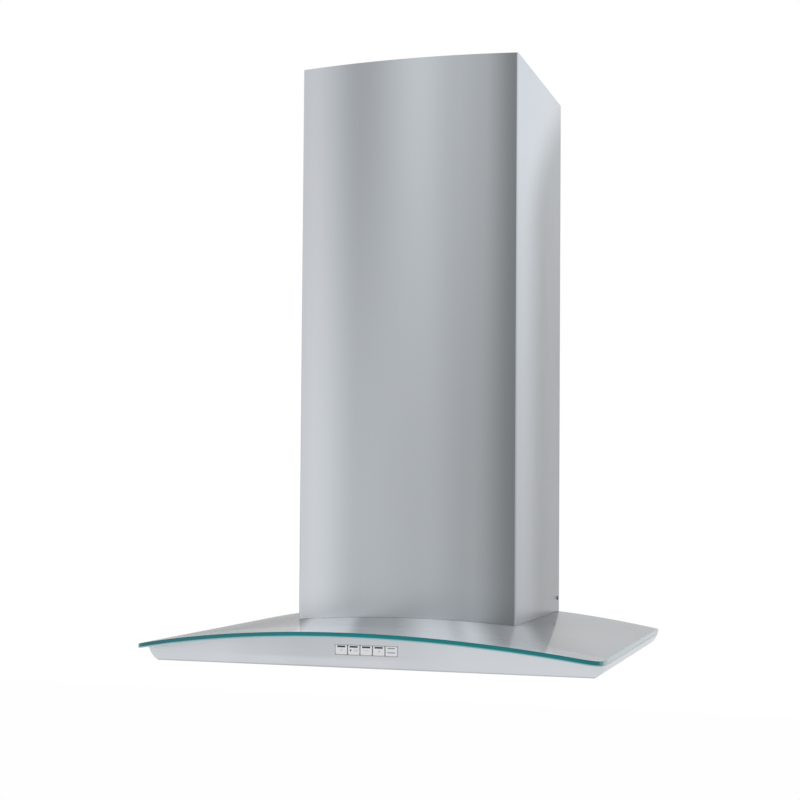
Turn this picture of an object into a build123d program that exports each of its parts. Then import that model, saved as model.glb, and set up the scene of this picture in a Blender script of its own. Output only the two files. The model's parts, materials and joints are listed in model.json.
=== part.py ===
from build123d import *
import math
import os

# A wall-hung chimney hood with an arched glass canopy. Millimetres.
# The wall is the plane y = 0 and the front faces -Y. The origin is on the wall, at the middle of the
# canopy's bottom edge, so heights are heights above that edge.

# ---------------------------------------------------------------- driving dimensions

# Glass canopy
hood_width = 598.0
glass_overhang = 40.0  # front corners of the glass ahead of the body, before the front edge bows out
glass_side_overhang = 14.5  # sides of the glass beyond the body's bottom edge
glass_bulge = 52.0  # how far the front edge bows forward of its corners
glass_thickness = 6.0
glass_rise = 29.0  # the arch's middle above its ends
glass_end_height = 23.0  # top of the glass at its two ends
glass_corner_radius = 30.0
glass_lift = 2.0  # space between the glass and the steel, for the gasket
notch_margin = 10.5  # round the blower housing
notch_corner_radius = 12.0

# Canopy body
body_depth = 446.0
flank_radius = 25.0  # hull-shaped side of the body, seen from the front
flank_cut = 2.5  # what the bottom edge cuts off the flank's round
fascia_edge_radius = 2.0
sheet = 1.0  # steel sheet of the body, housing and chimney
lip_height = 3.0  # the body's edge hangs this far below its inner flange
flange_width = 14.0
panel_screw_rows = 3
upstand_overlap = 14.0  # height over which the blower housing fits over the body's upstand
fixing_hole_radius = 3.5
fixing_hole_span = 400.0
fixing_hole_height = 19.0

# Chimney
chimney_width = 304.0
chimney_side_depth = 286.0
chimney_bulge = 14.0
chimney_height = 802.0
chimney_bend_radius = 3.0
chimney_return_width = 15.0  # rear edges folded in along the wall
chimney_lift = 0.8  # over the glass
extension_gap = 3.0  # between the cover and the extension inside it
extension_drop = 2.0  # its top below the cover's top
extension_foot_gap = 21.0  # over the foot bracket
glide_height = 20.0
glide_width = 30.0
glide_rear_distance = 100.0
glide_front_margin = 56.0  # front pads behind the chimney's front corners

# Wall brackets
bracket_thickness = 1.5
bracket_side_gap = 19.0  # between the chimney's returns and the stretch that lies on the wall
bracket_joggle = 7.0
bracket_tab_depth = 22.0
foot_bracket_height = 20.0
foot_bracket_bottom = 55.0
foot_hole_span = 120.0
ceiling_bracket_height = 24.0
ceiling_bracket_drop = 10.0  # its top below the extension's top
ceiling_hole_span = 160.0
bracket_hole_radius = 3.0
rail_width = 200.0
rail_bottom = 196.0
rail_top = 276.0
rail_thickness = 2.0
rail_shelf_height = 226.0
rail_lip_distance = 10.0  # wall to the back of the lip
rail_lip_top = 254.7
rail_hole_radius = 4.0
rail_hole_span = 160.0
rail_hole_margin = 11.0
hook_width = 170.0
hook_thickness = 1.5
hook_drop = 24.0

# Blower housing and fan
housing_side_gap = 27.0  # to the chimney's sides
housing_front_gap = 21.0  # to the chimney's front corners
housing_wall_gap = 20.0  # behind the housing
housing_bottom = 48.0
housing_top = 300.0
housing_bend_radius = 3.0
fan_axis_height = 170.0
scroll_growth = 8.0  # per quarter turn
scroll_margin = 10.5  # from its bosses to the housing's sheet
scroll_inner_width = 104.0
scroll_wall = 2.0
scroll_rim = 11.0
scroll_rim_thickness = 3.0
scroll_tongue_radius = 8.0
scroll_inlet_overlap = 3.0  # the inlet's edge inside the impeller's ring
scroll_boss_radius = 5.0
scroll_boss_length = 12.0
impeller_gap = 8.0  # to the scroll where it is tightest
impeller_width = 92.0
blade_count = 30
blade_depth = 13.0  # radial
blade_sweep = 7.0
blade_thickness = 1.0
impeller_ring_width = 15.0
impeller_ring_thickness = 2.0
impeller_disc_thickness = 2.0
hub_radius = 14.0
hub_length = 30.0
hub_gap = 4.0  # between the hub and the motor
shaft_radius = 4.0
motor_radius = 44.7
motor_length = 76.0
motor_inside = 45.0  # length of the motor inside the scroll
motor_dome = 8.0
motor_ear_overlap = 7.0  # past the bracket's ring
motor_ear_width = 12.0
motor_ear_thickness = 3.0
motor_slot_count = 8
motor_bracket_ring = 7.0
motor_bracket_overlap = 16.0  # past the scroll's inlet
motor_bracket_arm = 14.0
motor_bracket_thickness = 3.0
arm_count = 3

# Exhaust collar and its flaps
collar_radius = 74.6
collar_wall = 1.6
collar_height = 46.0
collar_flange = 3.2
collar_ear_radius = 7.0
collar_ear_distance = 88.0
collar_ear_count = 4
collar_flange_thickness = 2.0
collar_ledge = 3.0
collar_ledge_height = 14.0
collar_ledge_thickness = 1.6
flap_thickness = 1.2
flap_gap = 1.2
flap_spread = 4.0  # hinge pin's distance from the middle
flap_pin_radius = 1.5
flap_barrel_wall = 1.1

# Electrics
capacitor_radius = 15.0
capacitor_length = 60.0
capacitor_edge = 1.0
terminal_box_length = 80.0
terminal_box_depth = 50.0
terminal_box_height = 30.0
terminal_box_wall = 2.0
terminal_lid_thickness = 2.0
gland_radius = 9.0
gland_bore_radius = 4.0
gland_length = 18.0
gland_nut_radius = 11.0
gland_nut_length = 6.0
terminal_box_margin = 12.0  # from the housing's edge
transformer_length = 58.0
transformer_depth = 34.0
transformer_height = 19.0
transformer_foot = 6.0  # how far its foot stands out at each end
transformer_foot_depth = 17.0
transformer_foot_thickness = 1.5
transformer_corner = 4.0

# Buttons and control unit
button_count = 5
button_pitch = 16.3
button_width = 15.3
button_height = 11.6
button_corner = 1.0
button_centre_height = 22.3
button_proud = 0.8  # face in front of the fascia
button_travel = 2.0
button_depth = 10.0
button_lug = 0.9
button_lug_thickness = 1.5
button_gap = 0.25
plunger_radius = 2.0
window_margin = 0.9
carrier_width = 94.0
carrier_height = 24.0
carrier_depth = 15.0
carrier_wall = 2.0
carrier_plate = 4.0
board_thickness = 1.6
switch_size = 6.0
switch_height = 2.0
cover_depth = 11.0

# Underside, lamps and filters
panel_thickness = 1.0
panel_bar = 16.0  # between the two filter openings
filter_side_margin = 24.5  # to the body's bottom edge
filter_front_margin = 101.0
filter_thickness = 9.0
filter_rear_distance = 60.0  # wall to the filter's rear edge
filter_rim = 12.0
filter_skin = 1.0
filter_side_gap = 1.0
filter_rear_gap = 1.5
filter_corner = 4.0
mesh_thickness = 1.0
mesh_columns = 8
mesh_rows = 10
mesh_strand = 4.0
pull_width = 60.0
pull_depth = 20.0
pull_slot = 12.0
tab_span = 140.0
tab_width = 16.0
tab_reach = 5.5
tab_thickness = 2.4
tab_pin_radius = 1.5
tab_pin_length = 30.0
clip_width = 18.0
clip_thickness = 0.6
clip_height = 8.0
clip_foot = 12.0
clip_span = 150.0
lamp_side_margin = 99.5  # lamp's middle to the body's bottom edge
lamp_front_margin = 50.0
lamp_bezel_radius = 34.0
lamp_bezel_thickness = 0.8
lamp_cup_radius = 29.0
lamp_cup_height = 16.0
lamp_wall = 1.0
lamp_opening_radius = 22.0
lens_thickness = 2.0
bulb_base_radius = 6.0
bulb_base_height = 4.0
bulb_radius = 4.5
bulb_length = 6.0

# Screws and clearances
screw_head_radius = 3.0
screw_head_height = 1.6
screw_radius = 1.6
screw_sides = 8  # shanks and their holes are prisms with few sides
screw_hole_gap = 0.3  # round a screw's shank
seat = 0.3  # small gap where one piece rests against another
running = 0.05  # radial clearance of turning shafts and pins
glass_clip_width = 22.0
glass_clip_thickness = 1.5
glass_clip_height = 26.0
glass_clip_margin = 30.0  # clip's middle to the housing's ends
glass_pad_thickness = 3.0
gasket_width = 14.0

# ---------------------------------------------------------------- values worked out from them

screw_hole_radius = screw_radius + screw_hole_gap

half_width = hood_width / 2
glass_side_depth = body_depth + glass_overhang
arch_radius = (half_width**2 + glass_rise**2) / (2 * glass_rise)
arch_centre = glass_end_height + glass_rise - arch_radius
glass_under_radius = arch_radius - glass_thickness
body_arch_radius = glass_under_radius - glass_lift
glass_depth = glass_side_depth + glass_bulge

body_bottom_width = hood_width - 2 * glass_side_overhang
body_half = body_bottom_width / 2
flank_centre_height = flank_radius - flank_cut
flank_centre = body_half - math.sqrt(flank_radius**2 - flank_centre_height**2)
flange_top = lip_height + sheet
panel_top = flange_top + panel_thickness

chimney_half = chimney_width / 2
extension_inset = sheet + extension_gap
extension_top = chimney_height - extension_drop
extension_bottom = foot_bracket_bottom + foot_bracket_height + extension_foot_gap
bracket_flat_half = chimney_half - chimney_return_width - bracket_side_gap

housing_half = chimney_half - housing_side_gap
housing_width = 2 * housing_half
housing_front = chimney_side_depth - housing_front_gap
housing_depth = housing_front - housing_wall_gap
housing_middle = -(housing_front + housing_wall_gap) / 2
upstand_inset = sheet + seat
upstand_height = housing_bottom + upstand_overlap

boss_reach = 2 * scroll_boss_radius + scroll_wall - sheet
scroll_span = housing_depth - 2 * (sheet + scroll_margin + boss_reach)
scroll_start_radius = (scroll_span - 3 * scroll_growth) / 2
impeller_radius = scroll_start_radius - impeller_gap
scroll_inlet_radius = impeller_radius - impeller_ring_width - scroll_inlet_overlap
motor_bracket_reach = scroll_inlet_radius + motor_bracket_overlap
motor_ear_reach = motor_radius + seat + motor_bracket_ring + motor_ear_overlap
fan_axis_depth = -housing_middle - scroll_growth
scroll_half = scroll_inner_width / 2
motor_bracket_face = scroll_half + scroll_wall + motor_bracket_thickness
first_centre = (-fan_axis_depth + scroll_growth / 2, fan_axis_height - scroll_growth / 2)
second_centre = (first_centre[0] - scroll_growth, first_centre[1])
third_centre = (second_centre[0], second_centre[1] + scroll_growth)
second_radius = scroll_start_radius + scroll_growth
third_radius = second_radius + scroll_growth
mouth_front = third_centre[0] - third_radius
mouth_rear = first_centre[0]
mouth_top = housing_top - sheet
collar_centre = (0, (mouth_front + mouth_rear) / 2)
collar_bore_radius = collar_radius - collar_wall

filter_half_gap = panel_bar / 2 + filter_side_gap
filter_width = body_half - filter_side_margin - filter_side_gap - filter_half_gap
filter_centre = filter_half_gap + filter_width / 2
filter_front_distance = body_depth - filter_front_margin
filter_depth = filter_front_distance - filter_rear_distance
lamp_side_distance = body_half - lamp_side_margin
lamp_wall_distance = body_depth - lamp_front_margin
tab_axis_distance = filter_rear_distance - tab_reach
tab_axis_height = panel_top + seat + tab_pin_radius
button_row = [(i - (button_count - 1) / 2) * button_pitch for i in range(button_count)]
window_width = button_pitch * (button_count - 1) + button_width + 2 * window_margin
fan_plane = Plane(origin=(0, -fan_axis_depth, fan_axis_height), x_dir=(0, 1, 0), z_dir=(1, 0, 0))
sides = {"left": -1, "right": 1}


def arch_height(x, radius):
    """Height of the arch of this radius at the distance x from the middle."""
    return arch_centre + math.sqrt(radius**2 - x**2)


def arched_band(outer_radius, inner_radius, width):
    """Section of a sheet that follows the arch, seen from the front."""
    with BuildSketch() as band:
        with Locations((0, arch_centre)):
            Circle(outer_radius)
            Circle(inner_radius, mode=Mode.SUBTRACT)
        Rectangle(width, chimney_height, align=(Align.CENTER, Align.MIN), mode=Mode.INTERSECT)
    return band.sketch


def hull_section(inset, bottom, top):
    """Section of the canopy body: hull-shaped flanks under the arch, set in by inset."""
    with BuildSketch() as hull:
        with Locations((0, flank_centre_height)):
            SlotCenterToCenter(2 * flank_centre, 2 * (flank_radius - inset))
        with Locations((0, arch_centre)):
            Circle(body_arch_radius - inset, mode=Mode.INTERSECT)
        with Locations((0, bottom)):
            Rectangle(hood_width, top - bottom, align=(Align.CENTER, Align.MIN), mode=Mode.INTERSECT)
    return hull.sketch


def chimney_outline(inset):
    """Plan of the chimney: straight back and sides and a bowed front, set in by inset."""
    with BuildSketch() as outline:
        with BuildLine():
            ThreePointArc(
                (-chimney_half, -chimney_side_depth),
                (0, -chimney_side_depth - chimney_bulge),
                (chimney_half, -chimney_side_depth),
            )
            Polyline(
                (chimney_half, -chimney_side_depth),
                (chimney_half, 0),
                (-chimney_half, 0),
                (-chimney_half, -chimney_side_depth),
            )
        make_face()
        fillet(outline.vertices().group_by(Axis.Y)[0], chimney_bend_radius)
        if inset > 0:
            offset(amount=-inset, kind=Kind.INTERSECTION)
    return outline.sketch


def chimney_section(inset):
    """Sheet of a chimney part in plan: the outline's wall, open at the back between two returns."""
    with BuildSketch() as section:
        add(chimney_outline(inset))
        add(chimney_outline(inset + sheet), mode=Mode.SUBTRACT)
        with Locations((0, -inset)):
            Rectangle(chimney_width - 2 * chimney_return_width, 2 * sheet + seat, mode=Mode.SUBTRACT)
    return section.sketch


def wall_bracket(tab_half, step, bottom, height, hole_span, screw_distance):
    """Folded strip: flat on the wall, stepped forward past the chimney's returns, with a tab each end."""
    with BuildPart() as bracket:
        with BuildSketch(Plane.XY.offset(bottom)):
            with BuildLine():
                Polyline(
                    (-tab_half, -bracket_tab_depth),
                    (-tab_half, -step),
                    (-bracket_flat_half - bracket_joggle, -step),
                    (-bracket_flat_half, 0),
                    (bracket_flat_half, 0),
                    (bracket_flat_half + bracket_joggle, -step),
                    (tab_half, -step),
                    (tab_half, -bracket_tab_depth),
                )
                offset(amount=bracket_thickness, kind=Kind.INTERSECTION, side=Side.RIGHT)
            make_face()
        extrude(amount=height)
        with BuildSketch(Plane.XZ):
            with Locations((0, bottom + height / 2)):
                with GridLocations(hole_span, 0, 2, 1):
                    Circle(bracket_hole_radius)
        extrude(amount=2 * bracket_thickness, mode=Mode.SUBTRACT)
        with BuildSketch(Plane.YZ.offset(-tab_half)):
            with Locations((-screw_distance, bottom + height / 2)):
                RegularPolygon(screw_hole_radius, screw_sides)
        extrude(amount=2 * tab_half, mode=Mode.SUBTRACT)
    return bracket


def side_places(half, distance, height):
    """Screw seats on both outer faces of something this half width, with their normals outwards."""
    return [Plane(origin=(side * half, -distance, height), z_dir=(side, 0, 0)) for side in (-1, 1)]


def screws(label, places, shank_length):
    """Hexagon-head screws: a place is a plane on the head's seat whose normal points out of the head."""
    with BuildPart() as group:
        for place in places:
            with BuildSketch(place):
                RegularPolygon(screw_head_radius, 6)
            extrude(amount=screw_head_height)
            with BuildSketch(place):
                RegularPolygon(screw_radius, screw_sides)
            extrude(amount=-shank_length)
    save(group, label)


def save(piece, label):
    """Label a finished piece and write it under its own name."""
    piece.part.label = label
    export_step(piece.part, f"parts/{label}.step")


os.makedirs("parts", exist_ok=True)

# ---------------------------------------------------------------- glass canopy

with BuildPart() as glass_canopy:
    with BuildSketch(Plane.XZ):
        add(arched_band(arch_radius, glass_under_radius, hood_width))
    extrude(amount=glass_depth)
    with BuildSketch() as glass_plan:
        with BuildLine():
            ThreePointArc(
                (-half_width, -glass_side_depth),
                (0, -glass_depth),
                (half_width, -glass_side_depth),
            )
            Polyline(
                (half_width, -glass_side_depth),
                (half_width, 0),
                (-half_width, 0),
                (-half_width, -glass_side_depth),
            )
        make_face()
        fillet(glass_plan.vertices().group_by(Axis.Y)[0], glass_corner_radius)
    extrude(amount=glass_end_height + glass_rise, mode=Mode.INTERSECT)
    notch_half = housing_half + notch_margin
    with BuildSketch() as notch:
        Rectangle(2 * notch_half, 2 * (housing_front + notch_margin))
        fillet(notch.vertices(), notch_corner_radius)
    extrude(amount=glass_end_height + glass_rise, mode=Mode.SUBTRACT)
save(glass_canopy, "glass_canopy")

# Foam strip between the glass and the steel, round three sides
with BuildPart() as glass_gasket:
    with BuildSketch(Plane.XZ):
        add(arched_band(glass_under_radius - seat, body_arch_radius + seat, body_bottom_width))
    extrude(amount=body_depth)
    with BuildSketch():
        with Locations((0, -body_depth / 2)):
            Rectangle(body_bottom_width, body_depth - 2 * fascia_edge_radius)
            Rectangle(
                body_bottom_width - 2 * gasket_width,
                body_depth - 2 * fascia_edge_radius - 2 * gasket_width,
                mode=Mode.SUBTRACT,
            )
        with Locations((0, -gasket_width)):
            Rectangle(2 * notch_half, 3 * gasket_width, mode=Mode.SUBTRACT)
    extrude(amount=glass_end_height + glass_rise, mode=Mode.INTERSECT)
save(glass_gasket, "glass_gasket")

# ---------------------------------------------------------------- canopy body

panel_screw_span = 2 * (body_half - flange_width / 2 - sheet)
panel_screw_middle = -body_depth / 2
panel_screw_pitch = (body_depth - 2 * sheet - flange_width) / (panel_screw_rows - 1)
upstand_width = housing_width - 2 * upstand_inset
upstand_depth = housing_depth - 2 * upstand_inset

with BuildPart() as canopy_body:
    with BuildSketch(Plane.XZ):
        add(hull_section(0, 0, chimney_height))
    extrude(amount=body_depth)
    fascia_edges = canopy_body.faces().sort_by(Axis.Y)[0].edges().filter_by(GeomType.CIRCLE)
    fillet(fascia_edges.sort_by(SortBy.RADIUS)[:2], fascia_edge_radius)
    # the space above the inner flange, and the recess below it
    with BuildSketch(Plane.XZ.offset(sheet)):
        add(hull_section(sheet, flange_top, chimney_height))
    extrude(amount=body_depth - 2 * sheet, mode=Mode.SUBTRACT)
    with BuildSketch(Plane.XZ.offset(sheet)):
        add(hull_section(sheet, -flank_radius, lip_height))
    extrude(amount=body_depth - 2 * sheet, mode=Mode.SUBTRACT)
    with BuildSketch(Plane.XY.offset(lip_height)):
        with Locations((0, -body_depth / 2)):
            Rectangle(
                body_bottom_width - 2 * (flange_width + sheet),
                body_depth - 2 * (flange_width + sheet),
            )
    extrude(amount=sheet, mode=Mode.SUBTRACT)
    with BuildSketch(Plane.XY.offset(lip_height)):
        with Locations((0, panel_screw_middle)):
            with GridLocations(panel_screw_span, panel_screw_pitch, 2, panel_screw_rows):
                RegularPolygon(screw_hole_radius, screw_sides)
    extrude(amount=sheet, mode=Mode.SUBTRACT)
    # the air opening and the upstand round it
    with BuildSketch(Plane.XY.offset(arch_height(housing_half, body_arch_radius) - sheet)):
        with Locations((0, housing_middle)):
            RectangleRounded(upstand_width, upstand_depth, housing_bend_radius)
    extrude(amount=upstand_height - arch_height(housing_half, body_arch_radius) + sheet)
    with BuildSketch(Plane.XY.offset(flange_top)):
        with Locations((0, housing_middle)):
            RectangleRounded(
                upstand_width - 2 * sheet,
                upstand_depth - 2 * sheet,
                housing_bend_radius - sheet,
            )
    extrude(amount=upstand_height, mode=Mode.SUBTRACT)
    # window for the buttons
    with BuildSketch(Plane.XZ.offset(body_depth)):
        with Locations((0, button_centre_height)):
            RectangleRounded(window_width, button_height + 2 * window_margin, button_corner)
    extrude(amount=-2 * sheet, mode=Mode.SUBTRACT)
    # holes for the screws that hold its back to the wall
    with BuildSketch(Plane.XZ):
        with Locations((0, fixing_hole_height)):
            with GridLocations(fixing_hole_span, 0, 2, 1):
                Circle(fixing_hole_radius)
    extrude(amount=2 * sheet, mode=Mode.SUBTRACT)
    # screw holes in the upstand, two a side
    housing_screw_height = (housing_bottom + upstand_height) / 2
    housing_screw_span = housing_depth / 2
    with BuildSketch(Plane.YZ.offset(-housing_half)):
        with Locations((housing_middle, housing_screw_height)):
            with GridLocations(housing_screw_span, 0, 2, 1):
                RegularPolygon(screw_hole_radius, screw_sides)
    extrude(amount=housing_width, mode=Mode.SUBTRACT)
save(canopy_body, "canopy_body")

screws(
    "housing_screws",
    [
        place
        for distance in (-housing_middle - housing_screw_span / 2, -housing_middle + housing_screw_span / 2)
        for place in side_places(housing_half, distance, housing_screw_height)
    ],
    2 * sheet + 2 * seat,
)

# ---------------------------------------------------------------- underside panel

opening_rear = -(filter_rear_distance - filter_rear_gap)
opening_front = -(filter_front_distance + filter_side_gap)
opening_middle = (opening_rear + opening_front) / 2
filter_middle = -(filter_rear_distance + filter_depth / 2)
tab_notch = tab_reach - filter_rear_gap + tab_pin_radius + filter_side_gap

with BuildPart() as underside_panel:
    with BuildSketch(Plane.XY.offset(flange_top)):
        with Locations((0, -body_depth / 2)):
            RectangleRounded(
                body_bottom_width - 2 * sheet,
                body_depth - 2 * (sheet + seat),
                fascia_edge_radius,
            )
        for side in sides.values():
            with Locations((side * filter_centre, opening_middle)):
                RectangleRounded(
                    filter_width + 2 * filter_side_gap,
                    opening_rear - opening_front,
                    filter_corner,
                    mode=Mode.SUBTRACT,
                )
            with Locations((side * filter_centre, opening_rear)):
                with GridLocations(tab_span, 0, 2, 1):
                    Rectangle(tab_width + 2 * filter_side_gap, 2 * tab_notch, mode=Mode.SUBTRACT)
            with Locations((side * lamp_side_distance, -lamp_wall_distance)):
                Circle(lamp_cup_radius + seat, mode=Mode.SUBTRACT)
        with Locations((0, panel_screw_middle)):
            with GridLocations(panel_screw_span, panel_screw_pitch, 2, panel_screw_rows):
                RegularPolygon(screw_hole_radius, screw_sides, mode=Mode.SUBTRACT)
    extrude(amount=panel_thickness)
save(underside_panel, "underside_panel")

screws(
    "panel_screws",
    [
        Plane(origin=(x, panel_screw_middle + y, lip_height), z_dir=(0, 0, -1))
        for x in (-panel_screw_span / 2, panel_screw_span / 2)
        for y in (-panel_screw_pitch, 0, panel_screw_pitch)
    ],
    sheet + panel_thickness + screw_radius,
)

# ---------------------------------------------------------------- chimney

chimney_screw_distance = bracket_tab_depth / 2 - sheet
chimney_screw_height = foot_bracket_bottom + foot_bracket_height / 2

with BuildPart() as chimney_cover:
    with BuildSketch(Plane.XY.offset(glass_end_height)):
        add(chimney_section(0))
    extrude(amount=chimney_height - glass_end_height)
    # the bottom edge follows the glass
    with BuildSketch(Plane.XZ):
        with Locations((0, arch_centre)):
            Circle(arch_radius + chimney_lift)
    extrude(amount=glass_depth, mode=Mode.SUBTRACT)
    with BuildSketch(Plane.YZ.offset(-chimney_half)):
        with Locations((-chimney_screw_distance, chimney_screw_height)):
            RegularPolygon(screw_hole_radius, screw_sides)
    extrude(amount=chimney_width, mode=Mode.SUBTRACT)
save(chimney_cover, "chimney_cover")

foot_bracket = wall_bracket(
    chimney_half - sheet - seat,
    sheet + seat,
    foot_bracket_bottom,
    foot_bracket_height,
    foot_hole_span,
    chimney_screw_distance,
)
save(foot_bracket, "foot_bracket")
screws(
    "chimney_screws",
    side_places(chimney_half, chimney_screw_distance, chimney_screw_height),
    sheet + seat + 2 * bracket_thickness,
)

extension_half = chimney_half - extension_inset
ceiling_bracket_bottom = extension_top - ceiling_bracket_drop - ceiling_bracket_height
extension_screw_height = ceiling_bracket_bottom + ceiling_bracket_height / 2
extension_screw_distance = (extension_inset + sheet + bracket_tab_depth) / 2

with BuildPart() as chimney_extension:
    with BuildSketch(Plane.XY.offset(extension_bottom)):
        add(chimney_section(extension_inset))
    extrude(amount=extension_top - extension_bottom)
    with BuildSketch(Plane.YZ.offset(-chimney_half)):
        with Locations((-extension_screw_distance, extension_screw_height)):
            RegularPolygon(screw_hole_radius, screw_sides)
    extrude(amount=chimney_width, mode=Mode.SUBTRACT)
save(chimney_extension, "chimney_extension")

ceiling_bracket = wall_bracket(
    extension_half - sheet - seat,
    extension_inset + sheet + seat,
    ceiling_bracket_bottom,
    ceiling_bracket_height,
    ceiling_hole_span,
    extension_screw_distance,
)
save(ceiling_bracket, "ceiling_bracket")
screws(
    "extension_screws",
    side_places(extension_half, extension_screw_distance, extension_screw_height),
    sheet + seat + 2 * bracket_thickness,
)

# Nylon pads at the top of the cover, which the extension slides on
with BuildPart() as chimney_glides:
    with BuildSketch(Plane.XY.offset(chimney_height - glide_height)):
        for side in sides.values():
            for distance in (glide_rear_distance, chimney_side_depth - glide_front_margin):
                with Locations((side * (chimney_half - sheet - extension_gap / 2), -distance)):
                    Rectangle(extension_gap - 2 * seat, glide_width)
    extrude(amount=glide_height - extension_drop)
save(chimney_glides, "chimney_glides")

# ---------------------------------------------------------------- wall rail and the hook on it

with BuildPart() as wall_rail:
    with BuildSketch(Plane.YZ.offset(-rail_width / 2)):
        with Locations((0, rail_bottom)):
            Rectangle(rail_thickness, rail_top - rail_bottom, align=(Align.MAX, Align.MIN))
        with Locations((0, rail_shelf_height)):
            Rectangle(rail_lip_distance + rail_thickness, rail_thickness, align=(Align.MAX, Align.MIN))
        with Locations((-rail_lip_distance, rail_shelf_height)):
            Rectangle(rail_thickness, rail_lip_top - rail_shelf_height, align=(Align.MAX, Align.MIN))
    extrude(amount=rail_width)
    rail_hole_rise = rail_top - rail_bottom - 2 * rail_hole_margin
    with BuildSketch(Plane.XZ):
        with Locations((0, (rail_bottom + rail_top) / 2)):
            with GridLocations(rail_hole_span, rail_hole_rise, 2, 2):
                Circle(rail_hole_radius)
    extrude(amount=rail_thickness, mode=Mode.SUBTRACT)
save(wall_rail, "wall_rail")

hook_top = rail_lip_top + seat + hook_thickness
hook_leg_back = (rail_thickness + rail_lip_distance - hook_thickness) / 2
with BuildPart() as housing_hook:
    with BuildSketch(Plane.YZ.offset(-hook_width / 2)):
        with Locations((-housing_wall_gap, hook_top)):
            Rectangle(hook_thickness, 2 * hook_drop, align=(Align.MIN, Align.MAX))
            Rectangle(housing_wall_gap - hook_leg_back, hook_thickness, align=(Align.MIN, Align.MAX))
        with Locations((-hook_leg_back, hook_top)):
            Rectangle(hook_thickness, hook_drop, align=(Align.MAX, Align.MAX))
    extrude(amount=hook_width)
save(housing_hook, "housing_hook")

# ---------------------------------------------------------------- blower housing

with BuildPart() as blower_housing:
    with BuildSketch(Plane.XY.offset(housing_bottom)):
        with Locations((0, housing_middle)):
            RectangleRounded(housing_width, housing_depth, housing_bend_radius)
    extrude(amount=housing_top - housing_bottom)
    with BuildSketch(Plane.XY.offset(housing_bottom)):
        with Locations((0, housing_middle)):
            RectangleRounded(
                housing_width - 2 * sheet,
                housing_depth - 2 * sheet,
                housing_bend_radius - sheet,
            )
    extrude(amount=housing_top - housing_bottom - sheet, mode=Mode.SUBTRACT)
    with BuildSketch(Plane.XY.offset(mouth_top)):
        with Locations(collar_centre):
            Circle(collar_bore_radius)
            with PolarLocations(collar_ear_distance, collar_ear_count, start_angle=45):
                RegularPolygon(screw_hole_radius, screw_sides)
    extrude(amount=sheet, mode=Mode.SUBTRACT)
    with BuildSketch(Plane.YZ.offset(-housing_half)):
        with Locations((housing_middle, housing_screw_height)):
            with GridLocations(housing_screw_span, 0, 2, 1):
                RegularPolygon(screw_hole_radius, screw_sides)
    extrude(amount=housing_width, mode=Mode.SUBTRACT)
save(blower_housing, "blower_housing")

# Clips on the housing's sides that hold the glass down through rubber pads
pad_start = notch_half + sheet
pad_end = chimney_half - extension_inset - sheet
glass_clip_places = (housing_wall_gap + glass_clip_margin, housing_front - glass_clip_margin)
pad_bottom = arch_height(pad_start, arch_radius) + seat
clip_bottom = pad_bottom + glass_pad_thickness
with BuildPart() as glass_clips:
    for side in sides.values():
        for distance in glass_clip_places:
            foot = Align.MIN if side > 0 else Align.MAX
            with BuildSketch(Plane.XZ.offset(distance - glass_clip_width / 2)):
                with Locations((side * housing_half, clip_bottom)):
                    Rectangle(glass_clip_thickness, glass_clip_height, align=(foot, Align.MIN))
                    Rectangle(pad_end - housing_half, glass_clip_thickness, align=(foot, Align.MIN))
            extrude(amount=glass_clip_width)
save(glass_clips, "glass_clips")

with BuildPart() as glass_clip_pads:
    with BuildSketch(Plane.XY.offset(pad_bottom)):
        for side in sides.values():
            for distance in glass_clip_places:
                with Locations((side * (pad_start + pad_end) / 2, -distance)):
                    Rectangle(pad_end - pad_start, glass_clip_width)
    extrude(amount=glass_pad_thickness)
save(glass_clip_pads, "glass_clip_pads")

# ---------------------------------------------------------------- scroll casing


def scroll_region():
    """Inside of the scroll: quarter arcs of growing radius, then straight up to the mouth."""
    with BuildSketch() as region:
        with BuildLine():
            CenterArc(first_centre, scroll_start_radius, 0, 90)
            CenterArc(second_centre, second_radius, -90, 90)
            CenterArc(third_centre, third_radius, 180, 90)
            Polyline(
                (mouth_front, third_centre[1]),
                (mouth_front, mouth_top),
                (mouth_rear, mouth_top),
                (mouth_rear, first_centre[1] + scroll_start_radius),
            )
        make_face()
        tongue = (mouth_rear, first_centre[1] + scroll_start_radius)
        fillet(region.vertices().sort_by_distance(tongue)[0], scroll_tongue_radius)
    return region.sketch


boss_offset = scroll_wall + scroll_boss_radius - sheet
boss_places = [
    (first_centre[0] + scroll_start_radius + boss_offset, first_centre[1]),
    (second_centre[0], second_centre[1] - second_radius - boss_offset),
    (mouth_front - boss_offset, third_centre[1]),
]
bracket_screw_distance = (scroll_inlet_radius + motor_bracket_reach) / 2
mouth_depth = mouth_rear - mouth_front


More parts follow.
